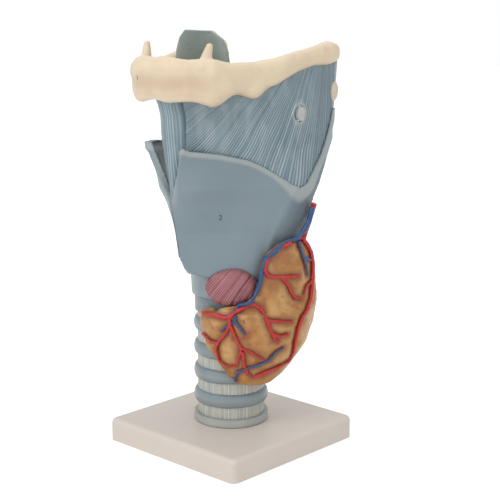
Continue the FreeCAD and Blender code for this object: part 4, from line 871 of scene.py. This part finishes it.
@dataclass
class ThyroidCartilage:
    """The two laminae of the thyroid cartilage, with their raised rims and oblique lines."""

    upper_border: Path = (
        (-51.1, 175.4), (-49.3, 174.2), (-45.5, 172.5), (-41.4, 172.1), (-31.2, 170.5), (-23.3, 168.5),
        (-15.5, 166.5), (-9.1, 163.3), (-3.0, 159.4), (3.0, 154.9), (8.3, 151.1), (12.9, 149.7),
        (17.2, 151.6), (21.1, 157.8), (26.8, 166.6), (31.1, 177.2), (38.3, 191.5),
    )
    oblique_line: Path = ((10.2, 152.3), (4.9, 140.5), (-0.1, 128.1), (-3.0, 116.0))
    rim_width: float = 3.6
    rim_height: float = 0.6
    wide_rim_place: float = 13.0
    wide_rim_extra: float = 6.4
    wide_rim_reach: float = 9.0
    horn_rise: tuple[float, float] = (158.0, 168.0)
    horn_back: tuple[float, float] = (17.0, 24.0)
    edge_fill_left: float = 0.42
    edge_fill_right: float = 0.12
    skin_back: float = 0.22
    flap_front: float = -28.0
    flap_edge: float = 0.5
    line_height: float = 0.45
    notch_foot: float = 139.0
    notch_spread: float = 0.27
    numeral_place: tuple[float, float, float] = (16.9, -25.6, 136.0)

    def build(self, shop: Workshop) -> None:
        """Casts both laminae and prints the key numeral on the left one."""
        for side, body in ((Side.LEFT, STAND), (Side.RIGHT, "right_half")):
            made = shop.cast(side.named("lamina"), [side.named("thyroid_lamina")], CARTILAGE, 0.55, 5,
                             lambda cloud, side=side: self.lamina_rule(cloud, side), body)
            if side is Side.LEFT:
                key_numeral(shop, made, "2", self.numeral_place, 3.2)
        shop.keep([side.named("horn_peg") for side in Side], STEEL)

    def lamina_rule(self, cloud: Cloud, side: Side) -> Shaping:
        """A raised bead along the upper border, the oblique line and slight unevenness, with painted
        highlights on the bead, the horn and the rounded front edges, and painted shade on the turned-away
        strip and the inner faces.

        Args:
            cloud: Points of the skin.
            side: Which half it is.

        Returns:
            How it is carved and marked.
        """
        outer = step(cloud.outward(), 0.1, 0.5)
        from_border = line_distance(cloud.y, cloud.z, self.upper_border)
        wide = hump(cloud.y, self.wide_rim_place, self.wide_rim_reach)
        width = self.rim_width + self.wide_rim_extra * wide
        rim = step(from_border, width, width * 0.45)
        swell = np.exp(-(((from_border - width * 0.45) / (width * 0.42)) ** 2))
        groove = hump(from_border, width + 0.7, 1.1)
        horn = step(cloud.z, *self.horn_rise) * step(cloud.y, *self.horn_back)
        line = hump(line_distance(cloud.y, cloud.z, self.oblique_line), 0.0, 2.0)
        # Turned-away strip toward the back, which gets painted shade.
        behind = step(cloud.y - (cloud.z - 128.0) * 0.42, 0.0, 5.0) * (1.0 - horn)
        flat = 0.1 * cloud.lumps(12.0, 7)
        raised = self.rim_height * swell * (1.0 - 0.5 * horn) - 0.12 * groove + self.line_height * line
        closed = self.edge_fill_left if side is Side.LEFT else self.edge_fill_right
        push = outer * raised + flat - self.skin_back + closed * edges(cloud)
        notch_edge = np.maximum(cloud.z - self.notch_foot, 0.0) * self.notch_spread
        front = step(np.abs(cloud.x) - notch_edge, 3.4, 1.6)
        front = front * step(cloud.z, self.notch_foot, self.notch_foot + 8.0)
        # Painted highlights on the raised bead, the upper horn and the rounded front edge beside the
        # notch.
        highlight_tone = np.maximum(rim * (0.62 + 0.38 * outer), np.maximum(0.55 * horn, 0.5 * front * outer))
        inside = step(-cloud.outward(), 0.2, 0.7)
        if side is Side.RIGHT:
            flap = step(cloud.y, self.flap_front, self.flap_front - 8.0)
            flap = flap * step(cloud.z, self.notch_foot - 4.0, self.notch_foot + 5.0)
            inside = np.maximum(inside, flap * step(cloud.outward(), 0.6, 0.2))
            push = push + self.flap_edge * flap * edges(cloud)
            # Painted highlight on the flap's rounded edge.
            highlight_tone = np.maximum(highlight_tone, flap * edges(cloud))
            rim = rim * (1.0 - flap * step(from_border, 0.6, 1.8))
        # Painted shade on the turned-away strip and, much darker, on the inner faces, where the flap's
        # inside lies in shadow.
        hollow = np.clip((0.3 * behind * outer + 0.95 * inside) * (1.0 - rim), 0.0, 1.0)
        return Shaping(push, {Mark.RIM: highlight_tone * 0.85 * (1.0 - 0.8 * inside), Mark.HOLLOW: hollow})


def key_numeral(shop: Workshop, carrier: bpy.types.Object, text: str, place: tuple[float, float, float],
                height: float) -> None:
    """Prints a small key numeral on a casting.

    Args:
        shop: The workshop.
        carrier: The casting that it lies on.
        text: The numeral.
        place: A point near its middle.
        height: Its height in millimetres.
    """
    face = carrier.data
    cloud = read_cloud(face)
    nearest = int(np.argmin(np.linalg.norm(cloud.points - np.array(place), axis=1)))
    out = Vector(cloud.normals[nearest])
    up = (Vector((0.0, 0.0, 1.0)) - out * out.z).normalized()
    right = up.cross(out)
    centre = Vector(cloud.points[nearest]) + out * 0.05
    curve = bpy.data.curves.new(f"key_numeral_{text}", "FONT")
    curve.body = text
    curve.size = height * 1.35 * MM
    curve.extrude = 0.06 * MM
    curve.align_x = "CENTER"
    curve.align_y = "CENTER"
    letter = bpy.data.objects.new(curve.name, curve)
    mesh = bpy.data.meshes.new_from_object(letter)
    bpy.data.objects.remove(letter)
    piece = placed_object(f"key_numeral_{text}", mesh)
    turn = Matrix((right, up, out)).transposed().to_4x4()
    piece.data.transform(Matrix.Translation(centre * MM) @ turn)
    shop.finished(piece, str(carrier["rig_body"]), INK, [])


@dataclass
class Ligaments:
    """Membranes and ligaments between hyoid bone, thyroid cartilage and cricoid cartilage."""

    strand_pitch: float = 2.1
    strand_height: float = 0.5
    fan_foot: float = 150.0
    fan_lean: float = 0.80
    fan_turn: float = 0.0095
    front_pitch: float = 1.5
    hole_lip: float = 0.5
    hole_reach: float = 5.2
    hole_squash: float = 0.72
    foot_start: float = 38.0
    across_share: float = 0.45
    back_share: float = 0.89
    rear_zone: tuple[float, float] = (10.0, 26.0)
    wobbles: tuple[tuple[float, float, int, float], ...] = ((0.5, 6.0, 31, 0.35), (0.7, 15.0, 33, 0.5))

    def build(self, shop: Workshop) -> None:
        """Casts the membranes, the ligaments and what lies in them."""
        for side in Side:
            hole = sum(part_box(side.named("laryngeal_nerve_stub")), Vector()) / 2.0 / MM
            shop.cast(side.named("membrane"), [side.named("thyrohyoid_membrane")], MEMBRANE, 0.45, 3,
                      lambda cloud, hole=hole, side=side: self.membrane_rule(cloud, hole, side))
            for name, node, finish, voxel, ease, rule in (
                ("rear_cord", "lateral_thyrohyoid_ligament", CORD, 0.4, 3, self.cord_rule),
                ("triticeal_bead", "triticeal_cartilage", BEAD, 0.35, 3, self.bead_rule),
                ("nerve_end", "laryngeal_nerve_stub", NERVE, 0.3, 2, plain),
            ):
                shop.cast(side.named(name), [side.named(node)], finish, voxel, ease, rule)
        shop.cast("front_ligament", ["median_thyrohyoid_ligament"], MEMBRANE, 0.45, 3, self.front_rule)
        shop.cast("lower_ligament", ["cricothyroid_ligament"], TENDON, 0.45, 4, self.lower_rule)

    def membrane_rule(self, cloud: Cloud, hole: Vector, side: Side) -> Shaping:
        """Strands in a fan that leans less toward the back, and a raised lip round the nerve's hole, with
        painted highlights on the lip and strand ridges and painted shade in the hole, between strands, at
        the front edge and toward the back.

        Args:
            cloud: Points of the skin.
            hole: Middle of the hole.
            side: Which membrane it is.

        Returns:
            How it is carved and marked.
        """
        along = self.across_share * np.abs(cloud.x) + self.back_share * cloud.y + self.foot_start
        foot = fan(along, cloud.z - self.fan_foot, self.fan_lean, self.fan_turn)
        wobble = sum(high * cloud.lumps(*kind) for high, *kind in self.wobbles)
        phase = foot / self.strand_pitch + wobble
        rear = step(cloud.y, *self.rear_zone)
        strength = 0.6 + 0.5 * cloud.lumps(5.0, 37, upright=0.4)
        strength = strength * (1.0 - 0.8 * rear)
        from_hole = np.hypot((cloud.y - hole.y) / self.hole_squash, cloud.z - hole.z)
        lip = hump(from_hole, self.hole_reach, 1.0)
        calm = 1.0 - hump(from_hole, self.hole_reach, 2.4)
        outer = 1.0 - edges(cloud)
        relief = self.strand_height * strength * wound(phase) * calm + self.hole_lip * lip - 0.3
        foot_edge = edges(cloud) * step(-cloud.normals[:, 2], 0.2, 0.6)
        closed = 0.55 - (0.4 * foot_edge if side is Side.RIGHT else 0.0)
        front_edge = step(-cloud.normals[:, 1], 0.4, 0.8)
        closed = closed * (1.0 - 0.9 * front_edge)
        gaps = (1.0 - wound(phase)) ** 2 * strength * calm
        beyond = step(from_hole, self.hole_reach, self.hole_reach + 1.5)
        push = outer * relief + edges(cloud) * closed * beyond
        deep = step(from_hole, self.hole_reach - 0.4, self.hole_reach - 1.4)
        patch = step(cloud.lumps(14.0, 41), -0.2, 0.7)
        line = front_edge * edges(cloud) * beyond
        # Random darker patches of the paint, and painted shade toward the back, inside the hole, between
        # strands and along the front edge.
        hollow = 0.12 * patch + 0.3 * rear + 0.9 * deep + 0.4 * gaps + line
        hollow = np.clip(hollow, 0.0, 1.0) * (1.0 - lip)
        # Painted highlights on the hole's lip and on the strand ridges, in streaks, less toward the back.
        streak = step(cloud.lumps(3.4, 61, upright=0.3), -0.1, 0.6)
        bright = (0.1 + 0.35 * wound(phase) ** 2) * streak * (1.0 - rear) * (1.0 - line)
        rim = np.maximum(0.5 * lip, bright)
        return Shaping(push, {Mark.STRAND: phase, Mark.RIM: rim, Mark.HOLLOW: hollow})

    def front_rule(self, cloud: Cloud) -> Shaping:
        """Upright strands, with a groove beside each membrane that carries painted shade."""
        half = np.abs(cloud.x).max()
        phase = cloud.x / self.front_pitch + 0.3 * cloud.lumps(5.0, 43, upright=0.25)
        # Groove beside each membrane, carved and given painted shade.
        groove = step(np.abs(cloud.x), half - 1.3, half - 0.2) * step(cloud.z, 160.0, 172.0)
        push = 0.3 * wound(phase) * (0.6 + 0.4 * cloud.lumps(7.0, 47)) - 0.2
        push = push + 0.3 * edges(cloud) - 0.15 * groove
        return Shaping(push, {Mark.STRAND: phase, Mark.HOLLOW: 0.9 * groove})

    @staticmethod
    def lower_rule(cloud: Cloud) -> Shaping:
        """A nearly plain sheet with faint upright strands."""
        bearing = np.arctan2(cloud.x, -cloud.y) * 20.0
        phase = bearing / 1.9 + 0.3 * cloud.lumps(6.0, 53)
        return Shaping(0.1 * wound(phase) - 0.15, {Mark.STRAND: phase})

    @staticmethod
    def cord_rule(cloud: Cloud) -> Shaping:
        """Strands along a cord."""
        middle = cloud.points.mean(axis=0)
        bearing = np.arctan2(cloud.y - middle[1], cloud.x - middle[0])
        phase = bearing / (2.0 * math.pi) * 9.0
        return Shaping(0.1 * wound(phase) - 0.05, {Mark.STRAND: phase})

    @staticmethod
    def bead_rule(cloud: Cloud) -> Shaping:
        """A smooth grain, slightly flattened, with painted light growing toward its top."""
        low, high = cloud.z.min(), cloud.z.max()
        return Shaping(0.08 * cloud.lumps(3.0, 59), {Mark.RIM: 0.5 * step(cloud.z, low, high)})


@dataclass
class HyoidBone:
    """The hyoid bone with its two lesser horns."""

    hollow_height: float = 208.0
    lip_height: float = 198.0
    front_reach: float = -38.0
    numeral_place: tuple[float, float, float] = (-10.0, -60.0, 210.0)
    swells: tuple[Swell, ...] = (
        Swell((-14.0, -54.5, 199.5), 6.5, 1.5), Swell((-0.3, -56.0, 198.5), 5.0, -1.2),
        Swell((27.1, -38.5, 198.2), 6.5, 2.0), Swell((33.6, -27.4, 200.5), 5.0, -1.6),
        Swell((36.6, -18.5, 200.8), 5.0, 1.5), Swell((39.5, -9.0, 203.5), 4.5, -0.9),
        Swell((5.6, -57.0, 220.0), 5.0, 0.9), Swell((22.8, -52.6, 211.6), 8.0, -0.9),
        Swell((29.0, -42.0, 212.0), 7.0, 0.9), Swell((44.5, 18.0, 224.0), 9.0, -0.6),
        Swell((-27.1, -38.5, 198.2), 6.5, 1.2), Swell((-33.6, -27.4, 200.5), 5.0, -1.0),
        Swell((-36.6, -18.5, 200.8), 5.0, 1.0), Swell((-29.0, -42.0, 212.0), 7.0, 0.6),
    )

    def build(self, shop: Workshop) -> None:
        """Casts the bone and its horns in one, and prints its key numeral."""
        nodes = ["hyoid_bone", "lesser_horn_left", "lesser_horn_right"]
        made = shop.cast("hyoid", nodes, BONE, 0.75, 7, self.bone_rule)
        key_numeral(shop, made, "1", self.numeral_place, 2.6)

    def bone_rule(self, cloud: Cloud) -> Shaping:
        """A shallow hollow above the protruding lower lip and the slight swellings of bone, with painted
        shade in the hollow and on downward faces, and painted highlights on the lip and upward faces.

        Args:
            cloud: Points of the skin.

        Returns:
            How it is carved and marked.
        """
        front = step(cloud.y, self.front_reach, self.front_reach - 12.0) * step(cloud.outward(), 0.0, 0.6)
        hollow = hump(cloud.z, self.hollow_height, 4.6)
        lip = hump(cloud.z, self.lip_height, 2.8)
        push = front * (0.7 * lip - 1.5 * hollow * (0.8 + 0.4 * cloud.lumps(9.0, 61)))
        push = push + 0.4 * cloud.lumps(9.0, 67) + 0.06 * cloud.lumps(3.0, 71) + 0.1
        push = push + sum(swell.push(cloud.points) for swell in self.swells)
        # Downward faces get painted shade, upward faces a painted highlight.
        below = step(-cloud.normals[:, 2], 0.2, 0.9)
        above = step(cloud.normals[:, 2], 0.4, 0.9)
        marks = {
            Mark.HOLLOW: np.clip(0.55 * front * hollow + 0.3 * below, 0.0, 1.0),
            Mark.RIM: np.clip(0.7 * front * lip + 0.35 * above, 0.0, 1.0),
        }
        return Shaping(push, marks)


@dataclass
class EpiglottisParts:
    """The leaf over the inlet, its hinge pin and the pad of fat before it."""

    rim_depth: float = 7.0

    def build(self, shop: Workshop) -> None:
        """Casts the leaf and the pad."""
        shop.cast("leaf", ["epiglottis"], LEAF, 0.5, 4, self.leaf_rule, "epiglottis")
        shop.cast("fat_pad", ["epiglottic_fat_pad"], FAT, 0.5, 3, self.fat_rule)
        shop.keep(["epiglottis_pin"], STEEL)

    def leaf_rule(self, cloud: Cloud) -> Shaping:
        """A smooth leaf with a painted highlight along its top edge and sides, and shallow dimples with
        painted shade.

        Args:
            cloud: Points of the skin.

        Returns:
            How it is carved and marked.
        """
        top = cloud.z.max()
        rim = step(cloud.z, top - self.rim_depth, top) * step(np.abs(cloud.normals[:, 1]), 0.95, 0.3)
        side = step(np.abs(cloud.x), 12.0, 20.0)
        dimple = step(cloud.lumps(3.4, 73), 0.5, 0.9)
        push = 0.12 * cloud.lumps(9.0, 79) - 0.12 * dimple - 0.08
        # Painted highlight on the top edge and sides; painted shade in the dimples.
        light = np.clip(0.8 * rim + 0.4 * side, 0.0, 1.0)
        return Shaping(push, {Mark.RIM: light, Mark.HOLLOW: 0.12 * dimple})

    @staticmethod
    def fat_rule(cloud: Cloud) -> Shaping:
        """Soft grains of fat, with painted shade between them and painted highlights on their tops."""
        grains = cloud.lumps(3.2, 83)
        marks = {Mark.HOLLOW: 0.7 * step(-grains, 0.1, 0.7), Mark.RIM: 0.4 * step(grains, 0.2, 0.8)}
        return Shaping(0.3 * grains - 0.35, marks)


@dataclass
class InnerParts:
    """Arytenoids, folds and the muscles inside and behind the cricoid."""

    muscle_pitch: float = 1.3

    def build(self, shop: Workshop) -> None:
        """Casts the inner parts of both sides."""
        for side in Side:
            turns = side.named("arytenoid")
            for name, node, finish, voxel, ease, rule, body in (
                ("arytenoid", "arytenoid_cartilage", SMALL_CARTILAGE, 0.4, 4, self.small_rule, turns),
                ("corniculate", "corniculate_cartilage", SMALL_CARTILAGE, 0.35, 4, self.small_rule, turns),
                ("vocal_cord", "vocal_fold", FOLD, 0.4, 4, self.fold_rule, side.named("vocal_fold")),
                ("upper_fold", "vestibular_fold", UPPER_FOLD, 0.4, 4, self.fold_rule, STAND),
                ("rear_muscle", "rear_cricoarytenoid_muscle", MUSCLE, 0.4, 3, self.rear_rule, STAND),
            ):
                shop.cast(side.named(name), [side.named(node)], finish, voxel, ease, rule, body)
            shop.keep([side.named("arytenoid_pin"), side.named("fold_pin")], STEEL)
        shop.cast("front_block", ["commissure_block"], FAT, 0.45, 3, self.small_rule)

    @staticmethod
    def small_rule(cloud: Cloud) -> Shaping:
        """Small hand-finished cartilage, with painted shade in its dips."""
        uneven = cloud.lumps(4.0, 89)
        return Shaping(0.1 * uneven - 0.08, {Mark.HOLLOW: 0.35 * step(-uneven, 0.1, 0.8)})

    @staticmethod
    def fold_rule(cloud: Cloud) -> Shaping:
        """Strands along a fold, from front to back."""
        phase = cloud.z / 1.2 + np.abs(cloud.x) / 3.0 + 0.3 * cloud.lumps(4.0, 97)
        return Shaping(0.1 * wound(phase) - 0.12, {Mark.STRAND: phase})

    def rear_rule(self, cloud: Cloud) -> Shaping:
        """Strands that rise from the midline to the outer process, with painted shade along the midline.
        """
        across = np.abs(cloud.x)
        foot = fan(cloud.z - cloud.z.min(), across, 0.9, 0.012)
        phase = foot / self.muscle_pitch + 0.3 * cloud.lumps(4.0, 101)
        push = 0.22 * wound(phase) - 0.2 + 0.12 * cloud.lumps(6.0, 103)
        return Shaping(push, {Mark.STRAND: phase, Mark.HOLLOW: 0.35 * step(across, 4.0, 1.0)})


@dataclass
class CricothyroidMuscle:
    """The oval muscle pad on the left front of the cricoid, in two bundles."""

    pitch: float = 1.35
    lean: float = 0.72
    split_foot: float = 5.5
    facing: tuple[float, float] = (0.729, 0.685)
    bow: float = 0.018
    outline_ratio: float = 1.3

    def build(self, shop: Workshop) -> None:
        """Casts the pad."""
        shop.cast("cricothyroid_pad", ["cricothyroid_muscle_left"], MUSCLE, 0.34, 4, self.pad_rule)

    def pad_rule(self, cloud: Cloud) -> Shaping:
        """Slanting strands and the groove between the two bundles, with painted shade in the groove and
        both painted shade and a painted highlight toward the outline.

        Args:
            cloud: Points of the skin.

        Returns:
            How it is carved and marked.
        """
        along = self.facing[0] * cloud.x + self.facing[1] * cloud.y
        along = along - spread(along)[0]
        middle, half = spread(cloud.z)
        height = cloud.z - middle
        foot = along - self.lean * height - self.bow * height * height
        phase = foot / self.pitch + 0.35 * cloud.lumps(4.0, 107)
        groove = hump(foot, self.split_foot, 0.8)
        away = np.hypot(along / (half * self.outline_ratio), height / half)
        edge = step(away, 0.78, 1.0)
        strength = 0.65 + 0.35 * cloud.lumps(3.0, 109)
        push = 0.32 * wound(phase) * strength - 0.5 * groove - 0.15
        # Painted shade in the groove and toward the outline; a painted highlight toward the outline too.
        hollow = np.clip(0.75 * groove + 0.3 * edge, 0.0, 1.0)
        return Shaping(push, {Mark.STRAND: phase, Mark.HOLLOW: hollow, Mark.RIM: 0.2 * edge})


@dataclass
class ThyroidGland:
    """The gland's left lobe with its half of the isthmus, and the vessels that lie on it."""

    lobule_size: float = 12.0
    lobule_height: float = 0.8
    furrow_depth: float = 0.45
    furrow_reach: float = 2.4
    numeral_place: tuple[float, float, float] = (36.0, -30.0, 78.0)
    vessel_nodes: tuple[str, ...] = (
        "superior_thyroid_artery", "isthmus_artery", "superior_thyroid_vein", "inferior_thyroid_veins",
    )
    vessels: tuple[tuple[str, Finish], ...] = (
        ("artery_tree", ARTERY), ("artery_of_isthmus", ARTERY),
        ("vein_tree", VEIN), ("lower_veins", VEIN),
    )

    def build(self, shop: Workshop) -> None:
        """Casts the gland and its vessels."""
        made = shop.cast("gland_lobe", ["gland_lobe_left"], GLAND, 0.6, 5, self.gland_rule, "gland")
        for (name, finish), node in zip(self.vessels, self.vessel_nodes):
            shop.cast(name, [node], finish, 0.36, 5, self.vessel_rule, "gland")
        shop.keep(["gland_peg"], STEEL)
        key_numeral(shop, made, "3", self.numeral_place, 2.0)

    def gland_rule(self, cloud: Cloud) -> Shaping:
        """Rounded lobules and furrows along the vessels, with painted shade in the furrows and between
        lobules, and painted highlights on the lobule tops.

        Args:
            cloud: Points of the skin.

        Returns:
            How it is carved and marked.
        """
        outer = step(cloud.outward(), 0.0, 0.5)
        broad = cloud.lumps(self.lobule_size, 113)
        fine = cloud.lumps(self.lobule_size * 0.38, 127)
        furrow = hump(node_distance(cloud, self.vessel_nodes), 0.0, self.furrow_reach)
        relief = self.lobule_height * broad * (1.0 - furrow) + 0.1 * fine - self.furrow_depth * furrow
        push = outer * relief - 0.1
        # Painted shade along the vessels and in the dips; painted highlights on the lobule tops.
        hollow = np.maximum(0.4 * step(-broad, 0.05, 0.6), 0.75 * furrow)
        light = 0.45 * step(broad, 0.15, 0.7) * (1.0 - furrow)
        return Shaping(push, {Mark.HOLLOW: hollow, Mark.RIM: light})

    @staticmethod
    def vessel_rule(cloud: Cloud) -> Shaping:
        """Slight swellings along a vessel, and fuller walls to make up for the smoothing."""
        return Shaping(0.24 + 0.08 * cloud.lumps(3.5, 131))


# Studio


@dataclass
class Studio:
    """Camera, floor, sky and lamps."""

    camera_place: tuple[float, float, float] = (474.425, -489.129, 256.767)
    yaw: float = 43.214
    pitch: float = 12.036
    focal_pixels: float = 1236.391
    picture_pixels: float = 500.0
    sensor: float = 36.0
    floor_half: float = 3.0
    floor_glow: float = 0.62
    sky_light: float = 0.53
    aim_height: float = 0.12
    lamps: tuple[tuple[str, tuple[float, float, float], float, float], ...] = (
        ("key_lamp", (-0.15, -1.35, 1.05), 1.1, 9.0),
        ("fill_lamp", (1.35, -0.60, 0.55), 1.2, 3.4),
        ("top_lamp", (0.1, 0.2, 1.6), 1.2, 4.0),
    )

    def build(self) -> None:
        """Sets the whole studio up."""
        self.camera()
        self.floor()
        self.sky()
        bpy.context.scene.view_settings.view_transform = "Standard"
        for name, place, size, power in self.lamps:
            self.lamp(name, place, size, power)

    def camera(self) -> None:
        """The camera at the photograph's place."""
        data = bpy.data.cameras.new("camera")
        data.sensor_width = self.sensor
        data.lens = self.focal_pixels / self.picture_pixels * self.sensor
        data.clip_start = 0.01
        data.clip_end = 20.0
        yaw, pitch = math.radians(self.yaw), math.radians(self.pitch)
        level = math.cos(pitch)
        back = Vector((math.sin(yaw) * level, -math.cos(yaw) * level, math.sin(pitch)))
        right = Vector((math.cos(yaw), math.sin(yaw), 0.0))
        turn = Matrix((right, back.cross(right), back)).transposed().to_4x4()
        made = placed_object("camera", data)
        made.matrix_world = Matrix.Translation(Vector(self.camera_place) * MM) @ turn
        bpy.context.scene.camera = made

    def floor(self) -> None:
        """A pale floor under the stand that still takes its shadow."""
        half = self.floor_half
        mesh = bpy.data.meshes.new("floor")
        corners = [(x * half, y * half, 0.0) for x, y in ((-1, -1), (1, -1), (1, 1), (-1, 1))]
        mesh.from_pydata(corners, [], [(0, 1, 2, 3)])
        made = placed_object("floor", mesh)
        made.location.z = -0.4 * MM
        paint = bpy.data.materials.new("pale_floor")
        paint.use_nodes = True
        shader = paint.node_tree.nodes["Principled BSDF"]
        for name, value in (("Base Color", (0.86, 0.86, 0.86, 1.0)), ("Roughness", 0.9),
                            ("Specular IOR Level", 0.1), ("Emission Color", WHITE)):
            shader.inputs[name].default_value = value
        wires = Wiring(paint.node_tree)
        wires.link(self.seen(wires, self.floor_glow), shader.inputs["Emission Strength"])
        mesh.materials.append(paint)

    @staticmethod
    def seen(wires: Wiring, strength: float) -> bpy.types.NodeSocket:
        """Adds a value that is there only for rays that show the background.

        Args:
            wires: The node tree.
            strength: The value for those rays.

        Returns:
            The socket of the value.
        """
        path = wires.node("LightPath").outputs
        total = path["Is Camera Ray"]
        for name in ("Is Glossy Ray", "Is Transmission Ray"):
            total = wires.maths("MAXIMUM", total, path[name])
        return wires.maths("MULTIPLY", total, strength)

    def sky(self) -> None:
        """Even grey light all round, with a white background behind the object."""
        world = bpy.data.worlds.new("studio")
        world.use_nodes = True
        bpy.context.scene.world = world
        world.node_tree.nodes.clear()
        wires = Wiring(world.node_tree)
        mix = wires.node("MixShader")
        wires.link(self.seen(wires, 1.0), mix.inputs[0])
        for place, strength in ((1, self.sky_light), (2, 1.0)):
            light = wires.node("Background")
            light.inputs["Color"].default_value = WHITE
            light.inputs["Strength"].default_value = strength
            wires.link(light.outputs[0], mix.inputs[place])
        wires.link(mix.outputs[0], wires.node("OutputWorld").inputs["Surface"])

    def lamp(self, name: str, place: tuple[float, float, float], size: float, power: float) -> None:
        """Hangs a square lamp that faces the object.

        Args:
            name: Name of the lamp.
            place: Where it hangs, in metres.
            size: Length of its sides in metres.
            power: Its power in watts.
        """
        data = bpy.data.lights.new(name, "AREA")
        data.size = size
        data.energy = power
        made = placed_object(name, data)
        made.location = place
        aim = Vector((0.0, 0.0, self.aim_height)) - Vector(place)
        made.rotation_euler = aim.to_track_quat("-Z", "Y").to_euler()


def main() -> None:
    """Builds the sub-assemblies in order, then the studio."""
    logging.basicConfig(level=logging.INFO, format="%(name)s: %(message)s")
    shop = Workshop(Paintbox())
    kinds = (Stand, ThyroidCartilage, Ligaments, HyoidBone, EpiglottisParts, InnerParts,
             CricothyroidMuscle, ThyroidGland)
    for kind in kinds:
        assembly = kind()
        assembly.build(shop)
        LOG.info("%s done, %d pieces so far", type(assembly).__name__, len(shop.made))
    Studio().build()


if __name__ == "__main__":
    main()
